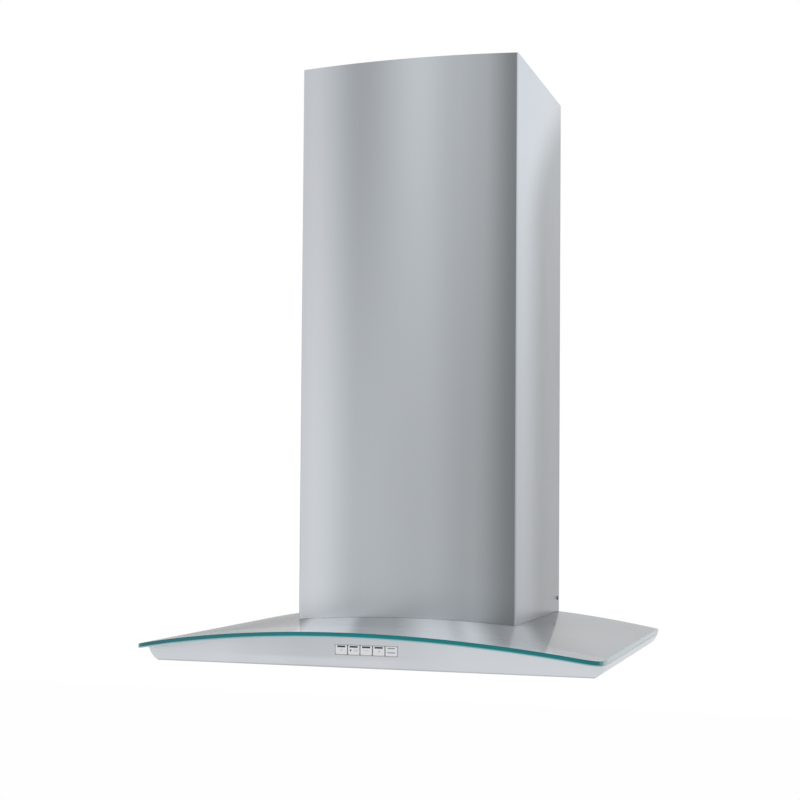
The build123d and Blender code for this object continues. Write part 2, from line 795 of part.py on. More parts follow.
def scroll_casing(label, side):
    """One moulded half of the scroll, with its inlet, its half of the rim and its screw bosses."""
    rim_align = (Align.MIN if side > 0 else Align.MAX, Align.CENTER)
    with BuildPart() as casing:
        with BuildSketch(Plane.YZ):
            add(scroll_region())
            offset(amount=scroll_wall)
        extrude(amount=side * (scroll_half + scroll_wall))
        with BuildSketch(Plane.YZ):
            with Locations(*boss_places):
                Circle(scroll_boss_radius)
        extrude(amount=side * scroll_boss_length)
        with BuildSketch(Plane.XY.offset(mouth_top - scroll_rim_thickness)):
            with Locations(collar_centre):
                Rectangle(
                    scroll_half + scroll_wall + scroll_rim,
                    mouth_depth + 2 * (scroll_wall + scroll_rim),
                    align=rim_align,
                )
        extrude(amount=scroll_rim_thickness)
        with BuildSketch(Plane.XY.offset(mouth_top)):
            with Locations(collar_centre):
                Rectangle(housing_width, 2 * mouth_depth)
        extrude(amount=2 * scroll_wall, mode=Mode.SUBTRACT)
        with BuildSketch(Plane.YZ):
            add(scroll_region())
        extrude(amount=side * scroll_half, mode=Mode.SUBTRACT)
        with BuildSketch(Plane.YZ.offset(side * scroll_half)):
            with Locations((-fan_axis_depth, fan_axis_height)):
                Circle(scroll_inlet_radius)
                with PolarLocations(bracket_screw_distance, arm_count, start_angle=90):
                    RegularPolygon(screw_hole_radius, screw_sides)
        extrude(amount=side * scroll_wall, mode=Mode.SUBTRACT)
        with BuildSketch(Plane.YZ):
            with Locations(*boss_places):
                RegularPolygon(screw_hole_radius, screw_sides)
        extrude(amount=side * scroll_boss_length, mode=Mode.SUBTRACT)
        with BuildSketch(Plane.XY.offset(mouth_top)):
            with Locations(collar_centre):
                with PolarLocations(collar_ear_distance, collar_ear_count, start_angle=45):
                    RegularPolygon(screw_hole_radius, screw_sides)
        extrude(amount=-scroll_rim_thickness, mode=Mode.SUBTRACT)
    save(casing, label)


for name, side in sides.items():
    scroll_casing(f"scroll_{name}", side)
screws(
    "scroll_screws",
    [Plane(origin=(scroll_boss_length, y, z), z_dir=(1, 0, 0)) for y, z in boss_places],
    2 * scroll_boss_length - screw_radius,
)

# ---------------------------------------------------------------- impeller, shaft and motor

motor_front = motor_inside - motor_bracket_face
motor_back = motor_front - motor_length
hub_start = motor_front + hub_gap

with BuildSketch() as blade:
    with BuildLine():
        ThreePointArc(
            (impeller_radius - blade_depth - sheet, 0),
            (impeller_radius - blade_depth / 2 - sheet, -blade_sweep / 3),
            (impeller_radius - sheet, -blade_sweep),
        )
        offset(amount=blade_thickness, side=Side.LEFT)
    make_face()

with BuildPart() as impeller:
    with BuildSketch(fan_plane.offset(-impeller_width / 2)):
        with PolarLocations(0, blade_count):
            add(blade.sketch)
    extrude(amount=impeller_width)
    for start in (-impeller_width / 2, impeller_width / 2 - impeller_ring_thickness):
        with BuildSketch(fan_plane.offset(start)):
            Circle(impeller_radius)
            Circle(impeller_radius - impeller_ring_width, mode=Mode.SUBTRACT)
        extrude(amount=impeller_ring_thickness)
    with BuildSketch(fan_plane.offset(-impeller_disc_thickness / 2)):
        Circle(impeller_radius)
    extrude(amount=impeller_disc_thickness)
    with BuildSketch(fan_plane.offset(hub_start)):
        Circle(hub_radius)
    extrude(amount=hub_length)
    with BuildSketch(fan_plane.offset(hub_start)):
        Circle(shaft_radius + running)
    extrude(amount=hub_length, mode=Mode.SUBTRACT)
save(impeller, "impeller")

with BuildPart() as fan_shaft:
    with BuildSketch(fan_plane.offset(motor_back + motor_dome)):
        Circle(shaft_radius)
    extrude(amount=hub_start + hub_length - motor_back - motor_dome + sheet)
save(fan_shaft, "fan_shaft")

ear_screw_distance = (motor_radius + motor_bracket_ring + motor_ear_reach) / 2
with BuildPart() as motor:
    with BuildSketch(fan_plane.offset(motor_back)):
        Circle(motor_radius)
    extrude(amount=motor_length)
    chamfer(motor.edges().filter_by(GeomType.CIRCLE), motor_dome)
    with BuildSketch(fan_plane.offset(-motor_bracket_face)):
        with PolarLocations(motor_ear_reach / 2, arm_count, start_angle=90):
            Rectangle(motor_ear_reach, motor_ear_width)
        with PolarLocations(ear_screw_distance, arm_count, start_angle=90):
            RegularPolygon(screw_hole_radius, screw_sides, mode=Mode.SUBTRACT)
    extrude(amount=-motor_ear_thickness)
    with BuildSketch(fan_plane.offset(motor_back)):
        with PolarLocations(motor_radius / 2, motor_slot_count):
            SlotOverall(motor_radius / 2, motor_ear_thickness)
    extrude(amount=motor_dome, mode=Mode.SUBTRACT)
    with BuildSketch(fan_plane.offset(motor_back)):
        Circle(shaft_radius + running)
    extrude(amount=motor_length, mode=Mode.SUBTRACT)
save(motor, "motor")

with BuildPart() as motor_bracket:
    with BuildSketch(fan_plane.offset(-motor_bracket_face)):
        Circle(motor_radius + seat + motor_bracket_ring)
        with PolarLocations(motor_bracket_reach / 2, arm_count, start_angle=90):
            Rectangle(motor_bracket_reach, motor_bracket_arm)
        Circle(motor_radius + seat, mode=Mode.SUBTRACT)
        for distance in (ear_screw_distance, bracket_screw_distance):
            with PolarLocations(distance, arm_count, start_angle=90):
                RegularPolygon(screw_hole_radius, screw_sides, mode=Mode.SUBTRACT)
    extrude(amount=motor_bracket_thickness)
save(motor_bracket, "motor_bracket")


def fan_screw_places(distance, face):
    """Screw seats on the motor's left side, one an arm, at this distance from the shaft."""
    angles = [math.radians(90 + 360 / arm_count * i) for i in range(arm_count)]
    return [
        Plane(
            origin=(
                -face,
                -fan_axis_depth + distance * math.cos(angle),
                fan_axis_height + distance * math.sin(angle),
            ),
            z_dir=(-1, 0, 0),
        )
        for angle in angles
    ]


screws(
    "motor_screws",
    fan_screw_places(ear_screw_distance, motor_bracket_face + motor_ear_thickness)
    + fan_screw_places(bracket_screw_distance, motor_bracket_face),
    motor_bracket_thickness + scroll_wall + sheet,
)

# ---------------------------------------------------------------- exhaust collar and its flaps

ledge_top = housing_top + collar_ledge_height + collar_ledge_thickness
flap_bottom = ledge_top + seat
flap_axis_height = flap_bottom + flap_thickness / 2
with BuildPart() as exhaust_collar:
    with BuildSketch(Plane.XY.offset(housing_top)):
        with Locations(collar_centre):
            Circle(collar_radius + collar_flange)
            with PolarLocations(collar_ear_distance, collar_ear_count, start_angle=45):
                Circle(collar_ear_radius)
            with PolarLocations(collar_ear_distance / 2, collar_ear_count, start_angle=45):
                Rectangle(collar_ear_distance, 2 * collar_ear_radius)
    extrude(amount=collar_flange_thickness)
    with BuildSketch(Plane.XY.offset(housing_top)):
        with Locations(collar_centre):
            Circle(collar_radius)
    extrude(amount=collar_height)
    with BuildSketch(Plane.XY.offset(housing_top)):
        with Locations(collar_centre):
            Circle(collar_bore_radius)
    extrude(amount=collar_height, mode=Mode.SUBTRACT)
    with BuildSketch(Plane.XY.offset(ledge_top)):
        with Locations(collar_centre):
            Circle(collar_radius)
            Circle(collar_bore_radius - collar_ledge, mode=Mode.SUBTRACT)
    extrude(amount=-collar_ledge_thickness)
    with BuildSketch(Plane.XY.offset(housing_top)):
        with Locations(collar_centre):
            with PolarLocations(collar_ear_distance, collar_ear_count, start_angle=45):
                RegularPolygon(screw_hole_radius, screw_sides)
    extrude(amount=collar_flange_thickness, mode=Mode.SUBTRACT)
    with BuildSketch(Plane.XZ):
        with Locations((0, flap_axis_height)):
            with GridLocations(2 * flap_spread, 0, 2, 1):
                Circle(flap_pin_radius + running)
    extrude(amount=housing_front + collar_radius, mode=Mode.SUBTRACT)
save(exhaust_collar, "exhaust_collar")

screws(
    "collar_screws",
    [
        Plane(
            origin=(
                collar_centre[0] + x * collar_ear_distance / math.sqrt(2),
                collar_centre[1] + y * collar_ear_distance / math.sqrt(2),
                housing_top + collar_flange_thickness,
            )
        )
        for x in (-1, 1)
        for y in (-1, 1)
    ],
    collar_flange_thickness + sheet + scroll_rim_thickness,
)

pin_half = collar_bore_radius + collar_wall / 2
with BuildPart() as flap_pins:
    with BuildSketch(Plane.XZ.offset(-collar_centre[1] - pin_half)):
        with Locations((0, flap_axis_height)):
            with GridLocations(2 * flap_spread, 0, 2, 1):
                Circle(flap_pin_radius)
    extrude(amount=2 * pin_half)
save(flap_pins, "flap_pins")

barrel_half = collar_bore_radius - collar_ledge - sheet
barrel_radius = flap_pin_radius + running + flap_barrel_wall
for name, side in sides.items():
    outwards = Align.MIN if side > 0 else Align.MAX
    with BuildPart() as flap:
        with BuildSketch(Plane.XY.offset(flap_bottom)):
            with Locations(collar_centre):
                Circle(collar_bore_radius - flap_gap)
            with Locations((side * flap_spread, collar_centre[1])):
                Rectangle(
                    collar_radius, 2 * collar_radius, align=(outwards, Align.CENTER), mode=Mode.INTERSECT
                )
        extrude(amount=flap_thickness)
        with BuildSketch(Plane.XZ.offset(-collar_centre[1] - barrel_half)):
            with Locations((side * flap_spread, flap_axis_height)):
                Circle(barrel_radius)
        extrude(amount=2 * barrel_half)
        with BuildSketch(Plane.XZ.offset(-collar_centre[1] - collar_radius)):
            with Locations((side * flap_spread, flap_axis_height)):
                Circle(flap_pin_radius + running)
        extrude(amount=2 * collar_radius, mode=Mode.SUBTRACT)
    save(flap, f"flap_{name}")

# ---------------------------------------------------------------- capacitor and terminal box

electrics_middle = (collar_centre[1] + collar_radius - housing_wall_gap) / 2
capacitor_middle = housing_half / 2
capacitor_height = housing_top + seat + capacitor_radius
with BuildPart() as capacitor:
    with BuildSketch(Plane.YZ.offset(capacitor_middle - capacitor_length / 2)):
        with Locations((electrics_middle, capacitor_height)):
            Circle(capacitor_radius)
    extrude(amount=capacitor_length)
    chamfer(capacitor.edges().filter_by(GeomType.CIRCLE), capacitor_edge)
save(capacitor, "capacitor")

strap_radius = capacitor_radius + seat
with BuildPart() as capacitor_clip:
    with BuildSketch(Plane.YZ.offset(capacitor_middle - clip_width / 2)):
        with Locations((electrics_middle, capacitor_height)):
            Circle(strap_radius + sheet)
        with Locations((electrics_middle, housing_top)):
            Rectangle(2 * (strap_radius + sheet), strap_radius, align=(Align.CENTER, Align.MIN))
            Rectangle(2 * (strap_radius + clip_foot), sheet, align=(Align.CENTER, Align.MIN))
            Rectangle(2 * strap_radius, strap_radius, align=(Align.CENTER, Align.MIN), mode=Mode.SUBTRACT)
        with Locations((electrics_middle, capacitor_height)):
            Circle(strap_radius, mode=Mode.SUBTRACT)
        with Locations((0, housing_top)):
            Rectangle(housing_depth * 2, housing_top, align=(Align.CENTER, Align.MIN), mode=Mode.INTERSECT)
    extrude(amount=clip_width)
save(capacitor_clip, "capacitor_clip")

terminal_middle = (-housing_half + terminal_box_margin + terminal_box_length / 2, electrics_middle)
terminal_side = terminal_middle[0] - terminal_box_length / 2
gland_height = housing_top + terminal_box_height / 2
gland_stem_radius = gland_bore_radius + terminal_box_wall
with BuildPart() as terminal_box:
    with BuildSketch(Plane.XY.offset(housing_top)):
        with Locations(terminal_middle):
            RectangleRounded(terminal_box_length, terminal_box_depth, terminal_box_wall)
    extrude(amount=terminal_box_height)
    with BuildSketch(Plane.XY.offset(housing_top + terminal_box_wall)):
        with Locations(terminal_middle):
            Rectangle(
                terminal_box_length - 2 * terminal_box_wall,
                terminal_box_depth - 2 * terminal_box_wall,
            )
    extrude(amount=terminal_box_height, mode=Mode.SUBTRACT)
    with BuildSketch(Plane.YZ.offset(terminal_side)):
        with Locations((electrics_middle, gland_height)):
            Circle(gland_stem_radius + seat)
    extrude(amount=terminal_box_wall, mode=Mode.SUBTRACT)
save(terminal_box, "terminal_box")

with BuildPart() as terminal_lid:
    with BuildSketch(Plane.XY.offset(housing_top + terminal_box_height)):
        with Locations(terminal_middle):
            RectangleRounded(terminal_box_length, terminal_box_depth, terminal_box_wall)
    extrude(amount=terminal_lid_thickness)
    chamfer(terminal_lid.faces().sort_by(Axis.Z)[-1].edges(), terminal_lid_thickness / 2)
save(terminal_lid, "terminal_lid")

with BuildPart() as cable_gland:
    with BuildSketch(Plane.YZ.offset(terminal_side)):
        with Locations((electrics_middle, gland_height)):
            RegularPolygon(gland_nut_radius, 6)
    extrude(amount=-gland_nut_length)
    with BuildSketch(Plane.YZ.offset(terminal_side)):
        with Locations((electrics_middle, gland_height)):
            Circle(gland_radius)
    extrude(amount=-gland_length)
    with BuildSketch(Plane.YZ.offset(terminal_side)):
        with Locations((electrics_middle, gland_height)):
            Circle(gland_stem_radius)
    extrude(amount=terminal_box_wall + sheet)
    with BuildSketch(Plane.YZ.offset(terminal_side - gland_length)):
        with Locations((electrics_middle, gland_height)):
            Circle(gland_bore_radius)
    extrude(amount=2 * gland_length, mode=Mode.SUBTRACT)
save(cable_gland, "cable_gland")

# ---------------------------------------------------------------- buttons and control unit

board_front = body_depth - sheet - carrier_depth
carrier_face = body_depth - sheet
button_face = body_depth + button_proud
lug_front = carrier_face - carrier_plate - seat
button_rear = button_face - button_depth
plunger_end = board_front + switch_height + button_travel + seat

with BuildPart() as button_carrier:
    with BuildSketch(Plane.XZ.offset(carrier_face)):
        with Locations((0, button_centre_height)):
            Rectangle(carrier_width, carrier_height)
    extrude(amount=-carrier_depth)
    with BuildSketch(Plane.XZ.offset(body_depth)):
        with Locations((0, button_centre_height)):
            RectangleRounded(
                window_width - button_gap,
                button_height + 2 * window_margin - button_gap,
                button_corner,
            )
    extrude(amount=-2 * sheet)
    with BuildSketch(Plane.XZ.offset(carrier_face - carrier_plate)):
        with Locations((0, button_centre_height)):
            Rectangle(carrier_width - 2 * carrier_wall, carrier_height - 2 * carrier_wall)
    extrude(amount=-carrier_depth, mode=Mode.SUBTRACT)
    with BuildSketch(Plane.XZ.offset(body_depth)):
        with Locations(*[(x, button_centre_height) for x in button_row]):
            Rectangle(button_width + 2 * button_gap, button_height + 2 * button_gap)
    extrude(amount=-carrier_depth, mode=Mode.SUBTRACT)
save(button_carrier, "button_carrier")

for number, x in enumerate(button_row, start=1):
    with BuildPart() as button:
        with BuildSketch(Plane.XZ.offset(button_face)):
            with Locations((x, button_centre_height)):
                RectangleRounded(button_width, button_height, button_corner)
        extrude(amount=-button_depth)
        chamfer(button.faces().sort_by(Axis.Y)[0].edges(), button_proud / 2)
        # lugs above and below that stop it behind the carrier's plate
        with BuildSketch(Plane.XZ.offset(lug_front)):
            with Locations((x, button_centre_height)):
                Rectangle(button_width / 2, button_height + 2 * button_lug)
        extrude(amount=-button_lug_thickness)
        with BuildSketch(Plane.XZ.offset(button_rear)):
            with Locations((x, button_centre_height)):
                Circle(plunger_radius)
        extrude(amount=plunger_end - button_rear)
    save(button, f"button_{number}")

with BuildPart() as control_board:
    with BuildSketch(Plane.XZ.offset(board_front)):
        with Locations((0, button_centre_height)):
            Rectangle(carrier_width, carrier_height)
    extrude(amount=-board_thickness)
save(control_board, "control_board")

with BuildPart() as tact_switches:
    with BuildSketch(Plane.XZ.offset(board_front)):
        with Locations(*[(x, button_centre_height) for x in button_row]):
            Rectangle(switch_size, switch_size)
    extrude(amount=switch_height)
save(tact_switches, "tact_switches")

cover_front = board_front - board_thickness
with BuildPart() as board_cover:
    with BuildSketch(Plane.XZ.offset(cover_front)):
        with Locations((0, button_centre_height)):
            RectangleRounded(carrier_width, carrier_height, carrier_wall)
    extrude(amount=-cover_depth)
    with BuildSketch(Plane.XZ.offset(cover_front)):
        with Locations((0, button_centre_height)):
            Rectangle(carrier_width - 2 * carrier_wall, carrier_height - 2 * carrier_wall)
    extrude(amount=carrier_wall - cover_depth, mode=Mode.SUBTRACT)
save(board_cover, "board_cover")

# ---------------------------------------------------------------- lamps and their transformer

lens_bottom = flange_top + seat
cup_top = flange_top + lamp_cup_height
bulb_top = cup_top - lamp_wall - seat
for name, side in sides.items():
    lamp_foot = (side * lamp_side_distance, -lamp_wall_distance, 0)
    lamp_plane = Plane(origin=lamp_foot, x_dir=(1, 0, 0), z_dir=(0, -1, 0))
    lamp_axis = Axis(lamp_foot, (0, 0, 1))
    with BuildPart() as lamp_housing:
        with BuildSketch(lamp_plane):
            with BuildLine():
                Polyline(
                    (lamp_opening_radius, flange_top - lamp_bezel_thickness),
                    (lamp_bezel_radius, flange_top - lamp_bezel_thickness),
                    (lamp_bezel_radius, flange_top),
                    (lamp_cup_radius, flange_top),
                    (lamp_cup_radius, cup_top),
                    (0, cup_top),
                    (0, cup_top - lamp_wall),
                    (lamp_cup_radius - lamp_wall, cup_top - lamp_wall),
                    (lamp_cup_radius - lamp_wall, flange_top),
                    (lamp_opening_radius, flange_top),
                    (lamp_opening_radius, flange_top - lamp_bezel_thickness),
                )
            make_face()
        revolve(axis=lamp_axis)
    save(lamp_housing, f"lamp_housing_{name}")

    with BuildPart() as lamp_lens:
        with BuildSketch(Plane.XY.offset(lens_bottom)):
            with Locations((side * lamp_side_distance, -lamp_wall_distance)):
                Circle(lamp_cup_radius - lamp_wall - seat)
        extrude(amount=lens_thickness)
    save(lamp_lens, f"lamp_lens_{name}")

    with BuildPart() as lamp_bulb:
        with BuildSketch(lamp_plane):
            with BuildLine():
                Polyline(
                    (0, bulb_top - bulb_base_height - bulb_length - bulb_radius / 2),
                    (bulb_radius / 2, bulb_top - bulb_base_height - bulb_length - bulb_radius / 2),
                    (bulb_radius, bulb_top - bulb_base_height - bulb_length),
                    (bulb_radius, bulb_top - bulb_base_height),
                    (bulb_base_radius, bulb_top - bulb_base_height),
                    (bulb_base_radius, bulb_top),
                    (0, bulb_top),
                    close=True,
                )
            make_face()
        revolve(axis=lamp_axis)
    save(lamp_bulb, f"lamp_bulb_{name}")

transformer_side = (carrier_width / 2 + lamp_side_distance - lamp_bezel_radius) / 2
with BuildPart() as lamp_transformer:
    with BuildSketch(Plane.XY.offset(panel_top)):
        with Locations((transformer_side, -lamp_wall_distance)):
            RectangleRounded(
                transformer_length + 2 * transformer_foot,
                transformer_foot_depth,
                transformer_corner,
            )
    extrude(amount=transformer_foot_thickness)
    with BuildSketch(Plane.XY.offset(panel_top)):
        with Locations((transformer_side, -lamp_wall_distance)):
            RectangleRounded(transformer_length, transformer_depth, transformer_corner)
    extrude(amount=transformer_height)
save(lamp_transformer, "lamp_transformer")

# ---------------------------------------------------------------- grease filters

window_length = filter_width - 2 * filter_rim
window_depth = filter_depth - 2 * filter_rim
for name, side in sides.items():
    middle = (side * filter_centre, filter_middle)
    with BuildPart() as filter_frame:
        with BuildSketch(Plane.XY.offset(flange_top)):
            with Locations(middle):
                RectangleRounded(filter_width, filter_depth, filter_corner - filter_side_gap)
        extrude(amount=filter_thickness)
        with BuildSketch(Plane.XY.offset(flange_top + filter_skin)):
            with Locations(middle):
                Rectangle(filter_width - 2 * filter_skin, filter_depth - 2 * filter_skin)
        extrude(amount=filter_thickness - 2 * filter_skin, mode=Mode.SUBTRACT)
        with BuildSketch(Plane.XY.offset(flange_top)):
            with Locations(middle):
                Rectangle(window_length, window_depth)
        extrude(amount=filter_thickness, mode=Mode.SUBTRACT)
        # finger pull in the front rim
        with BuildSketch(Plane.XY.offset(flange_top)):
            with Locations((middle[0], -filter_front_distance + filter_rim)):
                Rectangle(pull_width, pull_depth, align=(Align.CENTER, Align.MIN))
            with Locations((middle[0], -filter_front_distance + filter_rim + pull_depth / 2)):
                SlotOverall(pull_width - pull_slot, pull_slot, mode=Mode.SUBTRACT)
        extrude(amount=filter_skin)
        # two tabs behind, each a neck with a cross pin that lies on the panel
        for offset_x in (-tab_span / 2, tab_span / 2):
            with BuildSketch(Plane.XY.offset(tab_axis_height - tab_thickness / 2)):
                with Locations((middle[0] + offset_x, -filter_rear_distance - filter_skin / 2)):
                    Rectangle(tab_width, tab_reach + filter_skin / 2, align=(Align.CENTER, Align.MIN))
            extrude(amount=tab_thickness)
            with BuildSketch(Plane.YZ.offset(middle[0] + offset_x - tab_pin_length / 2)):
                with Locations((-tab_axis_distance, tab_axis_height)):
                    Circle(tab_pin_radius)
            extrude(amount=tab_pin_length)
    save(filter_frame, f"filter_frame_{name}")

    with BuildPart() as filter_mesh:
        column_pitch = window_length / mesh_columns
        row_pitch = window_depth / mesh_rows
        half_gap_x = (column_pitch - mesh_strand) / 2
        half_gap_y = (row_pitch - mesh_strand) / 2
        with BuildSketch(Plane.XY.offset(flange_top + filter_skin + seat)):
            with Locations(middle):
                Rectangle(
                    filter_width - 2 * (filter_skin + seat),
                    filter_depth - 2 * (filter_skin + seat),
                )
                with GridLocations(column_pitch, row_pitch, mesh_columns, mesh_rows):
                    Polygon(
                        (half_gap_x, 0),
                        (0, half_gap_y),
                        (-half_gap_x, 0),
                        (0, -half_gap_y),
                        mode=Mode.SUBTRACT,
                    )
        extrude(amount=mesh_thickness)
    save(filter_mesh, f"filter_mesh_{name}")

# Spring clips on the panel that press on the filters' front edges
clip_face = filter_front_distance + seat
with BuildPart() as filter_clips:
    for side in sides.values():
        for offset_x in (-clip_span / 2, clip_span / 2):
            with BuildSketch(Plane.YZ.offset(side * filter_centre + offset_x - clip_width / 2)):
                with Locations((-clip_face, panel_top)):
                    Rectangle(clip_foot, clip_thickness, align=(Align.MAX, Align.MIN))
                    Rectangle(clip_thickness, clip_height, align=(Align.MAX, Align.MIN))
            extrude(amount=clip_width)
save(filter_clips, "filter_clips")
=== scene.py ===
import json
import math

import bmesh
import bpy
import numpy as np
from mathutils import Matrix, Vector


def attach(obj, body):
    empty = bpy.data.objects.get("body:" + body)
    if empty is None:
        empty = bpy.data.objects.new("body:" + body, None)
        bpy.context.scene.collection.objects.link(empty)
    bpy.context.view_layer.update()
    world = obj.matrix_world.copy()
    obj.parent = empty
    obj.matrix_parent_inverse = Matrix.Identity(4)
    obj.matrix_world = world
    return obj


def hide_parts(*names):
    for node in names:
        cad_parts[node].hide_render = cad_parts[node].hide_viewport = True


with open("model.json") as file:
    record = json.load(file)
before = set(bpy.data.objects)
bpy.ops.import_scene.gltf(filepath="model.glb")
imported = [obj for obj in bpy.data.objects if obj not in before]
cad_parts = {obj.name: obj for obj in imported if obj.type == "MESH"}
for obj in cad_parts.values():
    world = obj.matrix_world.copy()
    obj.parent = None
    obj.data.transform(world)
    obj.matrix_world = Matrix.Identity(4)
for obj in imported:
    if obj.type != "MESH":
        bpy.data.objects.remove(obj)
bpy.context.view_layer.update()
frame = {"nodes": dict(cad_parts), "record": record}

# ------------------------ sizes, in metres

GLASS_HALF = 0.299
GLASS_SIDE_DEPTH = 0.486
GLASS_BULGE = 0.052
GLASS_CORNER = 0.030
GLASS_THICKNESS = 0.006
ARCH_RADIUS = 1.5558966  # of the pane's upper face
ARCH_CENTRE = -1.5038966  # height of the arch's axis
NOTCH_HALF = 0.1355
NOTCH_DEPTH = 0.2755
NOTCH_CORNER = 0.012
EDGE_BEVEL = 0.0008
BODY_FRONT = -0.448  # front of the steel under the glass
BODY_ARCH_RADIUS = 1.5478966
SEAL_HALF = 0.2974
SEAL_FRONT = -0.4462
SEAL_REAR = -0.0012
SEAL_WIDTH = 0.014
SEAL_GAP = 0.00005  # space above and below the seal

CHIMNEY_HALF = 0.152
CHIMNEY_DEPTH = 0.286
CHIMNEY_BULGE = 0.014
CHIMNEY_TOP = 0.802
CHIMNEY_LIFT = 0.0002  # space between the chimney and the glass
CHIMNEY_BEND = 0.003
RETURN_WIDTH = 0.015
SHEET = 0.001
EXTENSION_INSET = 0.004
EXTENSION_BOTTOM = 0.096
EXTENSION_TOP = 0.800

BUTTON_PITCH = 0.0163
BUTTON_WIDTH = 0.0153
BUTTON_HEIGHT = 0.0116
BUTTON_CORNER = 0.001
BUTTON_HEIGHT_UP = 0.0223  # height of the buttons' middles
BUTTON_FACE = -0.4467
LUG_REACH = 0.0009  # how far the lugs stand out above and below a button
LUG_FRONT, LUG_REAR = -0.4407, -0.4392
PLUNGER_RADIUS = 0.002
PLUNGER_FRONT, PLUNGER_REAR, PLUNGER_EDGE = -0.4380, -0.4344, 0.0003
BUTTON_ROW_HALF = 0.04055  # half width of the opening for the five buttons
BUTTON_ROW_UP = 0.00605  # half height of it
FRAME_REAR = -0.4455  # behind this the button frame is dark
MARK_BLUR = 0.0001  # half of the soft rim of a mark

LAMP_SIDE = 0.185
LAMP_BACK = -0.396
FILTER_SIDE = 0.134
FILTER_HALF = 0.1237
FILTER_FRONT = -0.3437
FILTER_REAR = -0.0613
FAN_Y = -0.1345
FAN_Z = 0.170
DUCT_Y = -0.1865
COLLAR_SCREWS = (-0.062225, 0.062225)

BAND_SLANT = 0.3136  # sideways run of the steel's painted reflection bands for each metre of depth
BAND_START = -0.42  # depth at which the painted reflection bands' places are given
FLOOR_HALF = 18.0
FLOOR_HEIGHT = -2.6
CAMERA_PLACE = (0.59946, -2.22395, 0.21238)

# ------------------------ meshes


def linear(tone):
    """Linear light of a grey that shows as this tone from 0 to 255."""
    share = tone / 255
    return share / 12.92 if share <= 0.04045 else ((share + 0.055) / 1.055) ** 2.4


def grey(tone):
    """A grey of this shown tone."""
    return (linear(tone),) * 3 + (1.0,)


def sweep_angles(start, end, steps):
    """Angles in radians from start to end, in degrees, with this many steps."""
    return np.radians(np.linspace(start, end, steps + 1))


class Shape:
    """Grids of points that are joined into one mesh."""

    def __init__(self):
        self.points = []
        self.faces = []
        self.finishes = []
        self.count = 0

    def grid(self, points, across=False, finish=0):
        """Faces between the neighbouring points of rows and columns, with closed rows if across."""
        points = np.asarray(points, float)
        rows, columns = points.shape[:2]
        index = np.arange(rows * columns).reshape(rows, columns) + self.count
        if across:
            index = np.hstack([index, index[:, :1]])
        corners = [index[:-1, :-1], index[1:, :-1], index[1:, 1:], index[:-1, 1:]]
        quads = np.stack([corner.ravel() for corner in corners], 1)
        self.points.append(points.reshape(-1, 3))
        self.faces.extend(quads.tolist())
        self.finishes.extend([finish] * len(quads))
        self.count += rows * columns

    def cap(self, ring):
        """One face over a closed ring of points."""
        ring = np.asarray(ring, float)
        self.points.append(ring)
        self.faces.append(list(range(self.count, self.count + len(ring))))
        self.finishes.append(0)
        self.count += len(ring)

    def solid(self, rings):
        """Rings of points one after another, closed by a face at each end."""
        rings = np.asarray(rings, float)
        self.grid(rings, across=True)
        self.cap(rings[0])
        self.cap(rings[-1])

    def build(self, name, finishes, nodes, body=None, sharp=32.0, weld=2e-6):
        """The welded mesh with its faces outwards, as a piece in place of these CAD nodes."""
        mesh = bpy.data.meshes.new(name)
        mesh.from_pydata(np.vstack(self.points).tolist(), [], self.faces)
        mesh.polygons.foreach_set("material_index", self.finishes)
        return place(name, mesh, finishes, nodes, body, sharp, weld)


def added(name, data):
    """A new object of the scene with this mesh, lamp or camera."""
    made = bpy.data.objects.new(name, data)
    bpy.context.scene.collection.objects.link(made)
    return made


def place(name, mesh, finishes, nodes, body=None, sharp=32.0, weld=2e-6):
    """Welds a mesh, turns its faces outwards, smooths it up to the sharp angle in degrees, and
    rides it on its body."""
    work = bmesh.new()
    work.from_mesh(mesh)
    bmesh.ops.remove_doubles(work, verts=work.verts, dist=weld)
    bmesh.ops.dissolve_degenerate(work, edges=work.edges, dist=weld)
    bmesh.ops.recalc_face_normals(work, faces=work.faces)
    work.to_mesh(mesh)
    work.free()
    mesh.polygons.foreach_set("use_smooth", [True] * len(mesh.polygons))
    mesh.set_sharp_from_angle(angle=math.radians(sharp))
    for finish in finishes:
        mesh.materials.append(finish)
    piece = added(name, mesh)
    nodes = [nodes] if isinstance(nodes, str) else list(nodes)
    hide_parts(*nodes)
    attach(piece, body or body_of[nodes[0]])
    return piece


def refined(node, finish):
    """A welded, smoothly shaded copy of a CAD node whose shape is right."""
    mesh = frame["nodes"][node].data.copy()
    mesh.materials.clear()
    if "custom_normal" in mesh.attributes:
        mesh.attributes.remove(mesh.attributes["custom_normal"])
    piece = place(node + "_fine", mesh, [finish], node)
    even = piece.modifiers.new("even_faces", "WEIGHTED_NORMAL")
    even.weight = 100
    even.keep_sharp = True
    return piece


body_of = {
    node: body
    for body, members in frame["record"]["behaviour"]["bodies"].items()
    for node in members
}


def outward_offset(path, distance, closed=True):
    """Points of a plan path moved sideways by this distance, with mitred corners."""
    ahead = np.roll(path, -1, 0) - path
    behind = path - np.roll(path, 1, 0)
    if not closed:
        ahead[-1] = behind[-1]
        behind[0] = ahead[0]
    normals = []
    for leg in (behind, ahead):
        leg = leg / np.linalg.norm(leg, axis=1, keepdims=True)
        normals.append(np.stack([leg[:, 1], -leg[:, 0]], 1))
    total = normals[0] + normals[1]
    share = 1 + (normals[0] * normals[1]).sum(1, keepdims=True)
    return path + distance * total / share


def arch(x, radius):
    """Height of the arch of this radius at the distance x from the middle."""
    return ARCH_CENTRE + np.sqrt(radius**2 - np.asarray(x) ** 2)


def on_arch(plan, radius, lift=0.0):
    """Points of a plan raised to the arch of this radius, and by lift above it."""
    return np.concatenate([plan, arch(plan[..., :1], radius) + lift], -1)


